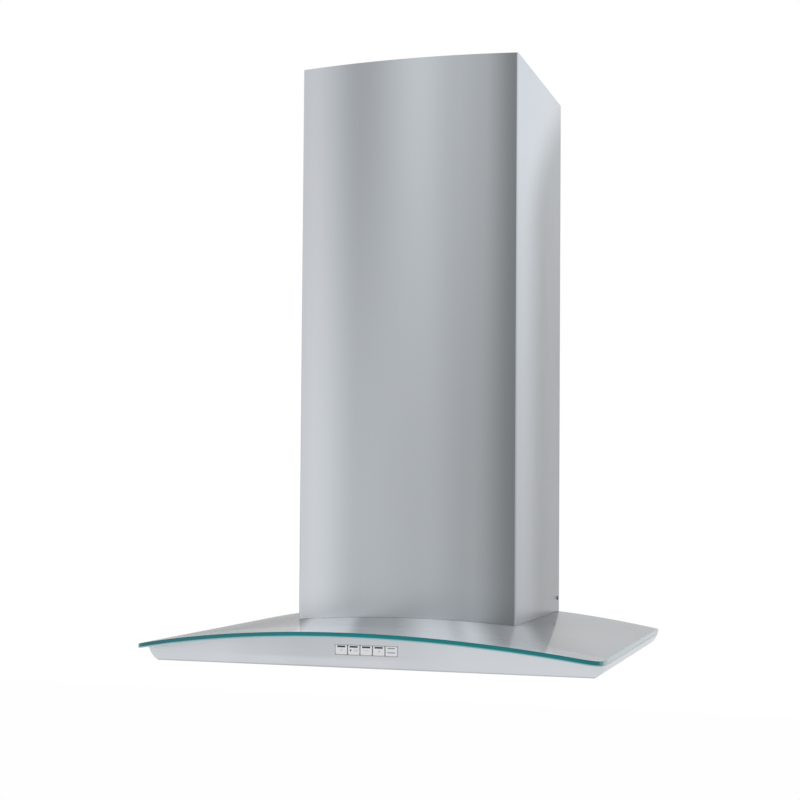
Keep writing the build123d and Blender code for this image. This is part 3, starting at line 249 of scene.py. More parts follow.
def square_to(direction):
    """A direction as an array, and two more, square to it and to each other."""
    axis = np.array(direction, float)
    side = np.cross(axis, [0.0, 0.0, 1.0] if abs(axis[2]) < 0.9 else [1.0, 0.0, 0.0])
    side /= np.linalg.norm(side)
    return axis, side, np.cross(axis, side)


def rounded_outline(width, height, corner, steps=5):
    """Points round a rectangle with rounded corners, centred on zero."""
    corners = []
    for quarter, (side, up) in enumerate([(1, 1), (-1, 1), (-1, -1), (1, -1)]):
        angles = sweep_angles(90 * quarter, 90 * quarter + 90, steps)
        middle = np.array([side * (width / 2 - corner), up * (height / 2 - corner)])
        corners.append(middle + corner * np.stack([np.cos(angles), np.sin(angles)], 1))
    return np.vstack(corners)


def bow(half, depth, bulge, corner):
    """The bowed front of a plan outline: radius and centre of its circle, centre of the rounded
    corner, and the x at which the two touch."""
    radius = (half**2 + bulge**2) / (2 * bulge)
    centre = radius - depth - bulge
    corner_x = half - corner
    corner_y = centre - math.sqrt((radius - corner) ** 2 - corner_x**2)
    touch = corner_x * radius / (radius - corner)
    return radius, centre, corner_x, corner_y, touch


def bowed_line(x, half, depth, bulge, corner, inset):
    """Distance in Y of a bowed front with rounded corners, at x, set in by inset."""
    radius, centre, corner_x, corner_y, touch = bow(half, depth, bulge, corner)
    reach = np.abs(x)
    front = centre - np.sqrt((radius - inset) ** 2 - reach**2)
    beside = np.clip(reach - corner_x, 0, corner - inset)
    rounded = corner_y - np.sqrt((corner - inset) ** 2 - beside**2)
    return np.where(reach <= touch * (radius - inset) / radius, front, rounded)


# ------------------------ finishes


class Reading:
    """A number that varies over a surface. Its operators add Math nodes."""

    def __init__(self, finish, socket):
        self.finish = finish
        self.socket = socket

    def math(self, operation, first, second=0.0):
        made = self.finish.node("ShaderNodeMath", {"operation": operation}, {0: first, 1: second})
        return Reading(self.finish, made.outputs[0])

    def __add__(self, other):
        return self.math("ADD", self, other)

    __radd__ = __add__

    def __sub__(self, other):
        return self.math("SUBTRACT", self, other)

    def __rsub__(self, other):
        return self.math("SUBTRACT", other, self)

    def __mul__(self, other):
        return self.math("MULTIPLY", self, other)

    __rmul__ = __mul__

    def __truediv__(self, other):
        return self.math("DIVIDE", self, other)

    def __abs__(self):
        return self.math("ABSOLUTE", self)

    def power(self, exponent):
        return self.math("POWER", self, exponent)

    def over(self, limit):
        return self.math("GREATER_THAN", self, limit)

    def most(self, other):
        return self.math("MAXIMUM", self, other)

    def least(self, other):
        return self.math("MINIMUM", self, other)

    def rise(self, low, high):
        """0 below low, 1 above high and a smooth step between them."""
        made = self.finish.node(
            "ShaderNodeMapRange",
            {"interpolation_type": "SMOOTHSTEP"},
            {"Value": self, "From Min": low, "From Max": high},
        )
        return Reading(self.finish, made.outputs[0])


class Finish:
    """A material made of nodes, which reads the piece's own coordinates."""

    def __init__(self, name):
        self.material = bpy.data.materials.new(name)
        self.material.use_nodes = True
        self.tree = self.material.node_tree
        self.tree.nodes.clear()
        self.place = self.node("ShaderNodeTexCoord").outputs["Object"]
        self.x, self.y, self.z = self.parts(self.place)

    def node(self, kind, settings=None, values=None):
        """Adds a node: its settings first, then the values or links of its sockets."""
        made = self.tree.nodes.new(kind)
        for name, value in (settings or {}).items():
            if name == "stops":
                elements = made.color_ramp.elements
                for index, (position, colour) in enumerate(value):
                    stop = elements[index] if index < 2 else elements.new(position)
                    stop.position = position
                    stop.color = colour
            elif name == "blend":
                made.color_ramp.interpolation = value
            else:
                setattr(made, name, value)
        for name, value in (values or {}).items():
            if isinstance(value, Reading):
                value = value.socket
            if isinstance(value, bpy.types.NodeSocket):
                self.tree.links.new(value, made.inputs[name])
            else:
                made.inputs[name].default_value = value
        return made

    def parts(self, vector):
        """The x, y and z of a vector, or the red, green and blue of a colour."""
        split = self.node("ShaderNodeSeparateXYZ", {}, {0: vector})
        return [Reading(self, socket) for socket in split.outputs]

    def upward(self):
        """How far the surface faces up: 1 up, 0 sideways and -1 down."""
        return self.parts(self.node("ShaderNodeNewGeometry").outputs["Normal"])[2]

    def stretched(self, scale):
        """The piece's coordinates multiplied by a scale for each axis, or by one for all."""
        scale = (scale,) * 3 if isinstance(scale, float) else scale
        return self.node("ShaderNodeMapping", {}, {"Vector": self.place, "Scale": scale}).outputs[0]

    def noise(self, scale, detail, rough):
        """Soft random pattern from 0 to 1, with this many features a metre along each axis."""
        made = self.node(
            "ShaderNodeTexNoise",
            {},
            {"Vector": self.stretched(scale), "Scale": 1.0, "Detail": detail, "Roughness": rough},
        )
        return Reading(self, made.outputs[0])

    def cells(self, scale, output, feature="F1"):
        """Random cells: the distance to their edges or a random colour for each."""
        made = self.node(
            "ShaderNodeTexVoronoi",
            {"feature": feature},
            {"Vector": self.stretched(scale), "Scale": 1.0},
        )
        return made.outputs[output]

    def ramp(self, reading, tones, blend="EASE"):
        """Grey that follows a reading through these pairs of a position and a shown tone."""
        stops = [(position, grey(tone)) for position, tone in tones]
        return self.node(
            "ShaderNodeValToRGB", {"blend": blend, "stops": stops}, {0: reading}
        ).outputs[0]

    def mix(self, share, first, second, blend="MIX"):
        """Colour between the first and the second."""
        return self.node(
            "ShaderNodeMix",
            {"data_type": "RGBA", "blend_type": blend},
            {0: share, 6: first, 7: second},
        ).outputs[2]

    def cast(self, colour, tint):
        """A colour multiplied by a tint."""
        return self.mix(1.0, colour, tint, "MULTIPLY")

    def brighter(self, colour, share):
        """A colour multiplied by a reading."""
        colour = colour[:3] if isinstance(colour, tuple) else colour
        return self.node(
            "ShaderNodeVectorMath", {"operation": "SCALE"}, {"Vector": colour, "Scale": share}
        ).outputs[0]

    def bump(self, height, distance, strength):
        """Surface normal for a height from 0 to 1 that stands this many metres."""
        return self.node(
            "ShaderNodeBump", {}, {"Height": height, "Distance": distance, "Strength": strength}
        ).outputs[0]

    def spot(self, reading_x, reading_y, middle, size):
        """1 inside a rectangle of this size round its middle, 0 outside."""
        beside = abs(reading_x - middle[0]) - size[0] / 2
        above = abs(reading_y - middle[1]) - size[1] / 2
        return 1 - beside.most(above).rise(-MARK_BLUR, MARK_BLUR)

    def dot(self, reading_x, reading_y, middle, radius):
        """1 inside a circle, 0 outside."""
        across = reading_x - middle[0]
        up = reading_y - middle[1]
        distance = (across * across + up * up).power(0.5)
        return 1 - (distance - radius).rise(-MARK_BLUR, MARK_BLUR)

    def shader(self, **values):
        """The principled shader: names with spaces are written with underscores."""
        return self.node(
            "ShaderNodeBsdfPrincipled",
            {},
            {name.replace("_", " "): value for name, value in values.items()},
        ).outputs[0]

    def see_through(self, tint):
        """A shader that lets light through unbent, tinted."""
        return self.node("ShaderNodeBsdfTransparent", {}, {0: tint}).outputs[0]

    def blended(self, share, first, second):
        """The first shader with this share of the second."""
        return self.node("ShaderNodeMixShader", {}, {0: share, 1: first, 2: second}).outputs[0]

    def done(self, shader):
        """Puts the shader on the surface."""
        self.node("ShaderNodeOutputMaterial", {}, {"Surface": shader})
        return self.material


def brushed(name, colour, along, metal_rough=0.30):
    """Steel sheet brushed along one axis: noise drawn out a hundredfold along its lines."""
    finish = Finish(name)
    fine = 2600.0
    scale = [fine] * 3
    scale[along] = fine / 140
    lines = finish.noise(tuple(scale), 3.0, 0.6)
    scale[along] = fine / 900
    broad = finish.noise(tuple(share * 0.16 for share in scale), 2.0, 0.5)
    cloud = finish.noise(9.0, 3.0, 0.55)
    smear = finish.noise((34.0, 34.0, 12.0), 4.0, 0.6)
    tone = 0.86 + 0.16 * lines + 0.08 * broad + 0.05 * cloud
    rough = metal_rough - 0.05 + 0.07 * lines + 0.06 * smear
    return finish.done(
        finish.shader(
            Base_Color=finish.brighter(colour, tone),
            Metallic=1.0,
            Roughness=rough,
            Normal=finish.bump(lines, 0.00002, 0.6),
        )
    )


def zinc_plate(name, colour):
    """Zinc-coated sheet: angular crystals that differ a little in tone and gloss."""
    finish = Finish(name)
    crystals = 130.0
    spangle = finish.parts(finish.cells(crystals, "Color"))[0]
    edge = Reading(finish, finish.cells(crystals, "Distance", "DISTANCE_TO_EDGE"))
    stain = finish.noise(14.0, 5.0, 0.6)
    grain = finish.noise(900.0, 2.0, 0.5)
    tone = 0.84 + 0.13 * spangle + 0.10 * stain + 0.03 * grain
    rough = 0.34 + 0.14 * spangle + 0.08 * stain
    return finish.done(
        finish.shader(
            Base_Color=finish.brighter(colour, tone),
            Metallic=0.9,
            Roughness=rough,
            Normal=finish.bump(edge.rise(0.0, 0.12), 0.00002, 0.4),
        )
    )


def moulded(name, colour, rough, grain_scale=2200.0, grain_depth=0.00003, spread=0.18):
    """Moulded plastic: fine spark-eroded grain and slow flow marks."""
    finish = Finish(name)
    grain = finish.noise(grain_scale, 3.0, 0.6)
    flow = finish.noise((26.0, 26.0, 60.0), 3.0, 0.5)
    dust = finish.noise(420.0, 4.0, 0.65).rise(0.62, 0.78)
    tone = 1.0 - spread / 2 + spread * flow + 0.06 * grain
    base = finish.mix(dust * 0.05, finish.brighter(colour, tone), (0.6, 0.58, 0.55, 1.0))
    return finish.done(
        finish.shader(
            Base_Color=base,
            Roughness=rough - 0.06 + 0.12 * flow + 0.05 * grain,
            Normal=finish.bump(grain, grain_depth, 0.5),
        )
    )


def drawn_steel(name, colour, rough, scale=1500.0):
    """Small turned or drawn metal parts: tiny random scratches and a few duller places."""
    finish = Finish(name)
    scratch = finish.noise((scale, scale, scale * 0.2), 4.0, 0.7)
    dull = finish.noise(90.0, 3.0, 0.6)
    return finish.done(
        finish.shader(
            Base_Color=finish.brighter(colour, 0.85 + 0.12 * scratch + 0.1 * dull),
            Metallic=1.0,
            Roughness=rough + 0.08 * scratch + 0.08 * dull,
            Normal=finish.bump(scratch, 0.00001, 0.4),
        )
    )


def chimney_steel():
    """Satin steel of the chimney with painted reflections: soft painted light and dark bands across
    the bowed front, and a painted gradient of light and shade on each side.
    """
    finish = Finish("chimney_steel_painted_reflections")
    reach = abs(finish.x)
    across = finish.x / (2 * CHIMNEY_HALF) + 0.5
    # painted reflections: soft light and dark bands across the bowed front, one set for the top and
    # one for the bottom, blended by height
    upper = finish.ramp(
        across,
        [
            (0.00, 196),
            (0.06, 198),
            (0.29, 164),
            (0.57, 197),
            (0.74, 181),
            (0.84, 173),
            (1.00, 127),
        ],
    )
    lower = finish.ramp(
        across,
        [
            (0.00, 205),
            (0.08, 210),
            (0.30, 184),
            (0.60, 177),
            (0.80, 163),
            (1.00, 122),
        ],
    )
    front = finish.mix(finish.z.rise(0.18, 0.86), lower, upper)
    # each side is painted bright near its front edge and painted in shade from about a third of its
    # depth on, further back above z = 0.58, as if light reached round the upper corner, and both
    # are painted lighter towards the top
    deep = 1 + finish.y / CHIMNEY_DEPTH
    raised = (finish.z - 0.58).most(0.0)
    shade = (deep - 0.36 - 16 * raised * raised).rise(-0.27, 0.27)
    height = finish.z / CHIMNEY_TOP
    bright = finish.ramp(height, [(0.1, 168), (0.5, 188), (0.85, 210)], "LINEAR")
    dim = finish.ramp(height, [(0.1, 127), (0.6, 141), (1.0, 162)], "LINEAR")
    side = finish.mix(shade, bright, dim)
    beside = reach.rise(0.1496, 0.1512)
    whole = finish.mix(beside, front, side)
    lines = finish.noise((2400.0, 2400.0, 16.0), 3.0, 0.6)
    broad = finish.noise((260.0, 260.0, 2.4), 2.0, 0.5)
    cloud = finish.noise((7.0, 7.0, 4.0), 3.0, 0.5)
    smear = finish.noise((30.0, 30.0, 14.0), 4.0, 0.6)
    # painted light: the front is painted up to about a tenth lighter towards its foot, against the
    # shade and dark reflection from the steel top below it
    foot = (1 - finish.z.rise(0.05, 0.13)) * (1 - beside)
    tone = 0.955 + 0.05 * lines + 0.02 * broad + 0.02 * cloud + 0.09 * foot
    # the steel's cool tint with painted reflection hues: warmer along the light band at the front's
    # left edge, bluer on the sides
    left = across.rise(0.04, 0.18)
    ahead = finish.mix(left, (0.965, 0.996, 1.052, 1.0), (0.943, 0.998, 1.052, 1.0))
    cool = finish.cast(whole, finish.mix(beside, ahead, (0.925, 0.998, 1.078, 1.0)))
    return finish.done(
        finish.shader(
            Base_Color=finish.brighter(cool, tone),
            Metallic=1.0,
            Roughness=0.24 + 0.05 * lines + 0.05 * smear,
            Normal=finish.bump(lines, 0.000008, 0.5),
        )
    )


def painted_reflection_bands(finish):
    """Painted reflections on the arched steel top: soft broad light and dark bands, which run back
    and to the left.
    """
    across = (finish.x + BAND_SLANT * (finish.y - BAND_START)) / 0.6 + 0.5
    return finish.ramp(
        across,
        [
            (0.15, 100),
            (0.33, 100),
            (0.36, 214),
            (0.44, 220),
            (0.475, 140),
            (0.54, 155),
            (0.63, 242),
            (0.655, 240),
            (0.68, 218),
            (0.71, 243),
            (0.775, 172),
            (0.83, 194),
            (0.88, 127),
            (1.00, 152),
        ],
    )


def fascia_steel():
    """Satin steel of the canopy body with painted reflections: even in front, with a soft painted
    highlight band left of the middle and a darker lip of painted shade at its bottom edge, and
    broad soft painted reflection bands over the arched top."""
    finish = Finish("fascia_steel_painted_reflections")
    across = finish.x / (2 * GLASS_HALF) + 0.5
    # painted reflections across the front, a little darker left of the middle
    even = finish.ramp(
        across,
        [
            (0.00, 214),
            (0.16, 214),
            (0.25, 206),
            (0.36, 199),
            (0.56, 205),
            (0.72, 214),
            (1.00, 217),
        ],
    )
    # the painted highlight band lies 6.5 mm up and fades out on both sides
    band = (0.0050 - abs(finish.z - 0.0065)).rise(-0.003, 0.003)
    band = band * finish.x.rise(-0.23, -0.09) * (1 - finish.x.rise(-0.06, 0.12))
    # painted shade: the bottom lip is painted darker
    low = 1 - finish.z.rise(0.0006, 0.0022)
    # the arched top under the glass takes the painted reflection bands, painted a fifth lighter and
    # less metallic
    top = finish.upward().rise(0.6, 0.9) * finish.z.rise(0.012, 0.014)
    lines = finish.noise((14.0, 2400.0, 2400.0), 3.0, 0.6)
    broad = finish.noise((2.6, 240.0, 240.0), 2.0, 0.5)
    smear = finish.noise((26.0, 26.0, 40.0), 4.0, 0.6)
    tone = 0.955 + 0.05 * lines + 0.02 * broad + (1 - top) * (0.13 * band - 0.24 * low) + 0.2 * top
    cool = finish.cast(finish.mix(top, even, painted_reflection_bands(finish)), (0.955, 0.995, 1.045, 1.0))
    return finish.done(
        finish.shader(
            Base_Color=finish.brighter(cool, tone),
            Metallic=1.0 - 0.85 * top,
            Roughness=0.27 + 0.05 * lines + 0.05 * smear,
            Normal=finish.bump(lines, 0.000008, 0.5),
        )
    )


def canopy_glass():
    """Clear toughened glass, which mirrors more the flatter it is looked along, and whose mirror is
    painted dimmer on the left, as a painted reflection of the darker room there. Over the steel top
    its upper face is painted with the steel and its painted reflection bands, and past the steel in
    front it is clear, with a pale painted sheen at flat angles."""
    finish = Finish("canopy_glass_painted_reflections")
    smudge = finish.noise(22.0, 4.0, 0.6)
    speck = finish.noise(700.0, 2.0, 0.5).rise(0.70, 0.80)
    lines = finish.noise((14.0, 2400.0, 2400.0), 3.0, 0.6)
    tint = finish.mix(smudge, (0.965, 0.978, 0.980, 1.0), (0.955, 0.970, 0.972, 1.0))
    clear = finish.see_through(tint)
    # the steel beneath, painted on the upper face with its painted reflection bands; in front of
    # the steel the bands are painted paler and lighter, as a painted sheen
    ahead = 1 - (finish.y - BODY_FRONT).rise(0.0, 0.0008)
    soft = finish.mix(0.12 * ahead, painted_reflection_bands(finish), (0.75, 0.75, 0.75, 1.0))
    cool = finish.cast(soft, (0.945, 0.998, 1.05, 1.0))
    # painted reflection: the mirror is painted dimmer on the left
    lit = finish.x.rise(-0.20, -0.07)
    steel = finish.shader(
        Base_Color=finish.brighter(cool, 0.96 + 0.05 * lines + 0.03 * smudge + 0.15 * ahead),
        Metallic=0.1,
        Roughness=0.54 - 0.24 * lit + 0.06 * lines,
        Specular_IOR_Level=0.1,
    )
    mirror = finish.shader(
        Base_Color=finish.brighter((0.71, 0.75, 0.79), 0.24 + 0.71 * lit + 0.05 * smudge),
        Metallic=1.0,
        Roughness=0.02 + 0.03 * smudge + 0.05 * speck,
    )
    facing = Reading(finish, finish.node("ShaderNodeLayerWeight", {}, {0: 0.5}).outputs["Facing"])
    share = 0.03 + 0.38 * facing.power(5.0) + 0.01 * speck
    sheen = (1.6 * facing.power(8.0)).least(0.85)
    covered = finish.upward().over(0.0) * (0.96 * (1 - ahead)).most(sheen)
    return finish.done(finish.blended(share, finish.blended(covered, clear, steel), mirror))


def glass_edge():
    """Polished edge of the glass: deep teal in front with a painted highlight as a light line along
    its bottom, paler along the sides, and nearly clear at the rear and round the notch, where the
    pane shows it."""
    finish = Finish("polished_glass_edge")
    middle = 1 - abs(finish.x - 0.09).rise(0.12, 0.36)
    teal = finish.mix(middle, (0.038, 0.165, 0.185, 1.0), (0.016, 0.212, 0.226, 1.0))
    up = finish.z - ARCH_CENTRE
    # 0 at the lower face of the pane and 1 at the upper
    level = ((finish.x * finish.x + up * up).power(0.5) - ARCH_RADIUS) / GLASS_THICKNESS + 1
    upper = finish.mix(0.5 * level.rise(0.80, 0.92), teal, (0.010, 0.060, 0.075, 1.0))
    # painted highlight: a light line along the bottom of the front edge
    front = finish.mix(0.85 * (1 - level.rise(0.10, 0.34)), upper, (0.40, 0.70, 0.76, 1.0))
    beside = abs(finish.x).rise(0.2945, 0.2987)
    back = (finish.y + 0.47).rise(0.0, 0.05)
    pale = finish.mix(back, (0.18, 0.36, 0.37, 1.0), (0.50, 0.62, 0.63, 1.0))
    streak = finish.noise((60.0, 60.0, 900.0), 3.0, 0.6)
    fine = finish.noise(1200.0, 2.0, 0.5)
    colour = finish.brighter(finish.mix(beside, front, pale), 0.8 + 0.3 * streak + 0.1 * fine)
    solid = finish.shader(
        Base_Color=colour,
        Roughness=0.10 + 0.08 * streak,
        Specular_IOR_Level=0.1,
        Normal=finish.bump(fine, 0.000006, 0.3),
    )
    rear = (finish.y + 0.0016).rise(0.0, 0.0004)
    inside = (NOTCH_HALF + 0.004 - abs(finish.x)).rise(0.0, 0.001)
    inside = inside * (finish.y + 0.30).rise(0.0, 0.01)
    share = (0.55 * rear).most(0.92 * inside)
    clear = finish.see_through((0.93, 0.97, 0.97, 1.0))
    return finish.done(finish.blended(share, solid, clear))


def button_frame():
    """Silver front of the button frame, dark in the slits between the buttons and behind them."""
    finish = Finish("button_frame")
    up = abs(finish.z - BUTTON_HEIGHT_UP)
    outside = (abs(finish.x) - BUTTON_ROW_HALF).most(up - BUTTON_ROW_UP)
    inside = 1 - outside.rise(-MARK_BLUR, MARK_BLUR)
    behind = (finish.y - FRAME_REAR).rise(0.0, 0.0002)
    dark = inside.most(behind)
    grain = finish.noise(1800.0, 3.0, 0.6)
    silver = finish.brighter((0.55, 0.555, 0.59), 0.95 + 0.06 * grain)
    slit = (BUTTON_HEIGHT / 2 - up).rise(0.0, 0.0002)
    gap = finish.mix(slit, (0.26, 0.26, 0.28, 1.0), (0.06, 0.06, 0.066, 1.0))
    black = finish.brighter(gap, 0.8 + 0.4 * grain)
    return finish.done(
        finish.shader(
            Base_Color=finish.mix(dark, silver, black),
            Metallic=0.9 - 0.9 * dark,
            Roughness=0.32 + 0.12 * dark + 0.06 * grain,
            Normal=finish.bump(grain, 0.00001, 0.4),
        )
    )


def button_silver(x, marks):
    """Satin silver of one button with its printed generic symbol in grey."""
    finish = Finish(f"silver_button_at_{round(x * 1e4):+d}")
    across = finish.x - x
    up = finish.z - BUTTON_HEIGHT_UP
    rim = (abs(across) - 0.0069).most(abs(up) - 0.0051).rise(-0.0003, 0.0002)
    grain = finish.noise(2600.0, 2.0, 0.5)
    cloud = finish.noise(160.0, 3.0, 0.5)
    face = finish.mix(rim, (0.84, 0.84, 0.87, 1.0), (0.90, 0.90, 0.92, 1.0))
    ink = None
    for kind, middle, size, depth in marks:
        if kind == "dot":
            shape = finish.dot(across, up, middle, size[0])
        else:
            shape = finish.spot(across, up, middle, size)
        ink = shape * depth if ink is None else ink.most(shape * depth)
    colour = finish.mix(ink, finish.brighter(face, 0.95 + 0.05 * cloud), (0.035, 0.035, 0.042, 1.0))
    return finish.done(
        finish.shader(
            Base_Color=colour,
            Metallic=0.12 - 0.1 * ink,
            Roughness=0.33 + 0.06 * grain,
            Normal=finish.bump(grain, 0.000006, 0.4),
        )
    )


# ------------------------ glass canopy


def notch_line(x, inset):
    """Distance in Y of the notch's front edge with its round corners, and of the line beside it."""
    corner_x = NOTCH_HALF - NOTCH_CORNER
    corner_y = -(NOTCH_DEPTH - NOTCH_CORNER)
    radius = NOTCH_CORNER + inset
    beside = np.clip(np.abs(x) - corner_x, 0, radius)
    return corner_y - np.sqrt(radius**2 - beside**2)


def glass_canopy(surface, edge):
    """A pane bent to the arch: rows run from the rear edge to the bowed front at every x, and the
    polished edge is three narrow strips round the outline, mitred inwards by the bevel."""
    corner_x = GLASS_HALF - GLASS_CORNER
    half = GLASS_HALF - EDGE_BEVEL
    notch = NOTCH_HALF + EDGE_BEVEL
    level = -(NOTCH_DEPTH - NOTCH_CORNER)
    round_front = corner_x + (half - corner_x) * np.sin(sweep_angles(0, 90, 14))
    round_notch = (
        NOTCH_HALF - NOTCH_CORNER + (NOTCH_CORNER + EDGE_BEVEL) * np.sin(sweep_angles(0, 90, 8))
    )
    inner = np.linspace(0, round_notch[0], 26)[:-1]
    outer = np.linspace(notch, corner_x, 34)[1:-1]
    right = np.concatenate([inner, round_notch, outer, round_front])
    columns = np.concatenate([-right[:0:-1], right])
    front = bowed_line(columns, GLASS_HALF, GLASS_SIDE_DEPTH, GLASS_BULGE, GLASS_CORNER, EDGE_BEVEL)
    rear = notch_line(columns, EDGE_BEVEL)
    rows = np.linspace(0, 1, 22)[:, None]
    main = np.stack(np.broadcast_arrays(columns, rear + (front - rear) * rows), -1)
    wing = columns[columns <= -notch + 1e-9]
    wing_y = np.linspace(-EDGE_BEVEL, level, 20)[:, None]
    left = np.stack(np.broadcast_arrays(wing, wing_y), -1)
    right_wing = left[:, ::-1] * np.array([-1, 1])
    inside = np.abs(columns) <= notch + 1e-9
    outline = np.vstack(
        [
            left[:, 0],
            main[1:, 0],
            main[-1, 1:],
            main[-2::-1, -1],
            right_wing[-2::-1, -1],
            right_wing[0, -2::-1],
            right_wing[1:, 0],
            main[0, inside][-2::-1],
            left[-2::-1, -1],
            left[0, -2:0:-1],
        ]
    )
    rim = outward_offset(outline, EDGE_BEVEL)
    shape = Shape()
    top = ARCH_RADIUS
    under = ARCH_RADIUS - GLASS_THICKNESS
    for arc in (top, under):
        for plan in (main, left, right_wing):
            shape.grid(on_arch(plan, arc))
    rings = [
        on_arch(outline, top),
        on_arch(rim, top, -EDGE_BEVEL),
        on_arch(rim, under, EDGE_BEVEL),
        on_arch(outline, under),
    ]
    shape.grid(np.array(rings), across=True, finish=1)
    return shape.build("glass_pane", [surface, edge], "glass_canopy", sharp=25, weld=2e-5)


def glass_seal(finish):
    """Foam strip between the glass and the steel: a four-cornered section carried along the rear,
    the sides and the front, from one side of the notch to the other, with both faces bent to their
    arches."""
    steps = np.linspace(0, 5, 121)
    plans = []
    for inset in (0.0, SEAL_WIDTH):
        half, rear, front = SEAL_HALF - inset, SEAL_REAR - inset, SEAL_FRONT + inset
        right = [(NOTCH_HALF, rear), (half, rear), (half, front)]
        corners = np.array(right + [(-x, y) for x, y in right[::-1]])
        plans.append(np.stack([np.interp(steps, np.arange(6), side) for side in corners.T], -1))
    glass = ARCH_RADIUS - GLASS_THICKNESS - SEAL_GAP
    steel = BODY_ARCH_RADIUS + SEAL_GAP
    edges = [(0, glass), (1, glass), (1, steel), (0, steel)]
    shape = Shape()
    shape.solid(np.stack([on_arch(plans[which], radius) for which, radius in edges], 1))
    return shape.build("glass_seal", [finish], "glass_gasket", sharp=25)


# ------------------------ chimney


def folded_path(half, depth, bulge, rear, bend):
    """Plan of a folded cover seen from above: rear return, side, bowed front, side and return."""
    radius, centre, corner_x, corner_y, _ = bow(half, depth, bulge, bend)
    bow_angle = math.atan2(corner_x, centre - corner_y)
    front_angles = np.linspace(-bow_angle, bow_angle, 97)
    front = np.stack([radius * np.sin(front_angles), centre - radius * np.cos(front_angles)], 1)
    turn = np.linspace(bow_angle, math.pi / 2, 9)
    corner = np.stack([corner_x + bend * np.sin(turn), corner_y - bend * np.cos(turn)], 1)
    rear_bend = SHEET * 1.5
    fold = sweep_angles(0, 90, 6)
    back = np.stack(
        [half - rear_bend + rear_bend * np.cos(fold), rear - rear_bend + rear_bend * np.sin(fold)],
        1,
    )
    end = np.array([[CHIMNEY_HALF - RETURN_WIDTH, rear]])
    right = np.vstack([corner[1:], back, end])
    return np.vstack([right[::-1] * [-1, 1], front, right])


def folded_cover(name, inset, bottom, top, finish, node):
    """A sheet folded along the plan path, its inner face one sheet inside, cut at both ends."""
    path = folded_path(
        CHIMNEY_HALF - inset,
        CHIMNEY_DEPTH - inset,
        CHIMNEY_BULGE,
        -inset,
        CHIMNEY_BEND - inset * 0.4,
    )
    inner = outward_offset(path, -SHEET, closed=False)
    loop = np.vstack([path, inner[::-1]])
    rings = []
    for share in (0.0, 0.5, 1.0):
        height = bottom(loop[:, :1]) * (1 - share) + top * share
        rings.append(np.concatenate([loop, height], 1))
    shape = Shape()
    shape.grid(np.array(rings), across=True)
    count = len(path)
    for ring in (rings[0], rings[-1]):
        shape.grid(np.stack([ring[:count], ring[: count - 1 : -1]]))
    return shape.build(name, [finish], node)


# ------------------------ small parts


def turned(shape, profile, centre, direction, segments, finish=0):
    """A profile of radius and distance pairs carried round an axis through centre."""
    axis, side, up = square_to(direction)
    angles = np.linspace(0, 2 * np.pi, segments, endpoint=False)
    around = np.cos(angles)[:, None] * side + np.sin(angles)[:, None] * up
    rings = [np.array(centre) + radius * around + distance * axis for radius, distance in profile]
    shape.grid(np.array(rings), across=True, finish=finish)


def screw_group(name, node, places, shank, finish):
    """Pan-head screws: the head's height falls off as a dome, less a cross-shaped recess."""
    head_radius, head_height, shank_radius = 0.0029, 0.0016, 0.0016
    radii = np.array(
        [0.0, 0.12, 0.22, 0.3, 0.36, 0.42, 0.5, 0.58, 0.64, 0.74, 0.84, 0.92, 0.97, 1.0]
    )
    angles = np.linspace(0, 2 * np.pi, 40, endpoint=False)
    across = radii[:, None] * np.cos(angles)
    up = radii[:, None] * np.sin(angles)
    dome = 0.62 + 0.38 * np.sqrt(1 - (radii * 0.98) ** 2)
    slot = np.minimum(np.abs(across), np.abs(up)) < 0.13
    reach = np.maximum(np.abs(across), np.abs(up)) < 0.6
    recess = np.where(slot & reach, 0.45 * (1 - 0.7 * radii[:, None]), 0.0)
    height = head_height * (dome[:, None] - recess)
    shape = Shape()
    for origin, normal in places:
        axis, side, other = square_to(normal)
        points = (
            np.array(origin)
            + head_radius * (across[..., None] * side + up[..., None] * other)
            + height[..., None] * axis
        )
        shape.grid(points, across=True)
        seat = [(head_radius, head_height * 0.70), (head_radius, 0.0), (shank_radius, 0.0)]
        rest = [(shank_radius, -shank + 0.0006), (shank_radius * 0.6, -shank), (0.0, -shank)]
        turned(shape, seat + rest, origin, normal, 40)
    return shape.build(name, [finish], node, sharp=40, weld=1e-6)


def button(number, x, finish):
    """A push button: rounded rectangles, each larger and further back than the one before, make its
    crowned face and walls. A taller lug and a turned plunger stand behind."""
    shape = Shape()
    rings = []
    for inset, back in [
        (0.0050, -0.00008),
        (0.0030, -0.00004),
        (0.0012, 0.0),
        (0.0007, 0.00006),
        (0.00032, 0.00022),
        (0.00008, 0.00048),
        (0.0, 0.0008),
        (0.0, 0.0100),
    ]:
        outline = rounded_outline(
            BUTTON_WIDTH - 2 * inset,
            BUTTON_HEIGHT - 2 * inset,
            max(BUTTON_CORNER - inset * 0.5, 0.0003),
        )
        rings.append([(x + u, BUTTON_FACE + back, BUTTON_HEIGHT_UP + v) for u, v in outline])
    shape.solid(rings)
    lug = rounded_outline(BUTTON_WIDTH / 2, BUTTON_HEIGHT + 2 * LUG_REACH, 0.0003, 2)
    ends = (LUG_FRONT, LUG_REAR)
    shape.solid([[(x + u, y, BUTTON_HEIGHT_UP + v) for u, v in lug] for y in ends])
    plunger = [
        (0.0, PLUNGER_FRONT),
        (PLUNGER_RADIUS, PLUNGER_FRONT),
        (PLUNGER_RADIUS, PLUNGER_REAR - PLUNGER_EDGE),
        (PLUNGER_RADIUS - PLUNGER_EDGE, PLUNGER_REAR),
        (0.0, PLUNGER_REAR),
    ]
    turned(shape, plunger, (x, 0.0, BUTTON_HEIGHT_UP), (0.0, 1.0, 0.0), 20)
    return shape.build(f"push_button_{number}", [finish], f"button_{number}", weld=1e-6)


def profile_arc(radius, height, across, up, end, steps):
    """Pairs of radius and height on an ellipse round this middle, from its bottom up to end."""
    return [
        (radius + across * math.sin(a), height - up * math.cos(a))
        for a in sweep_angles(0, end, steps)
    ]


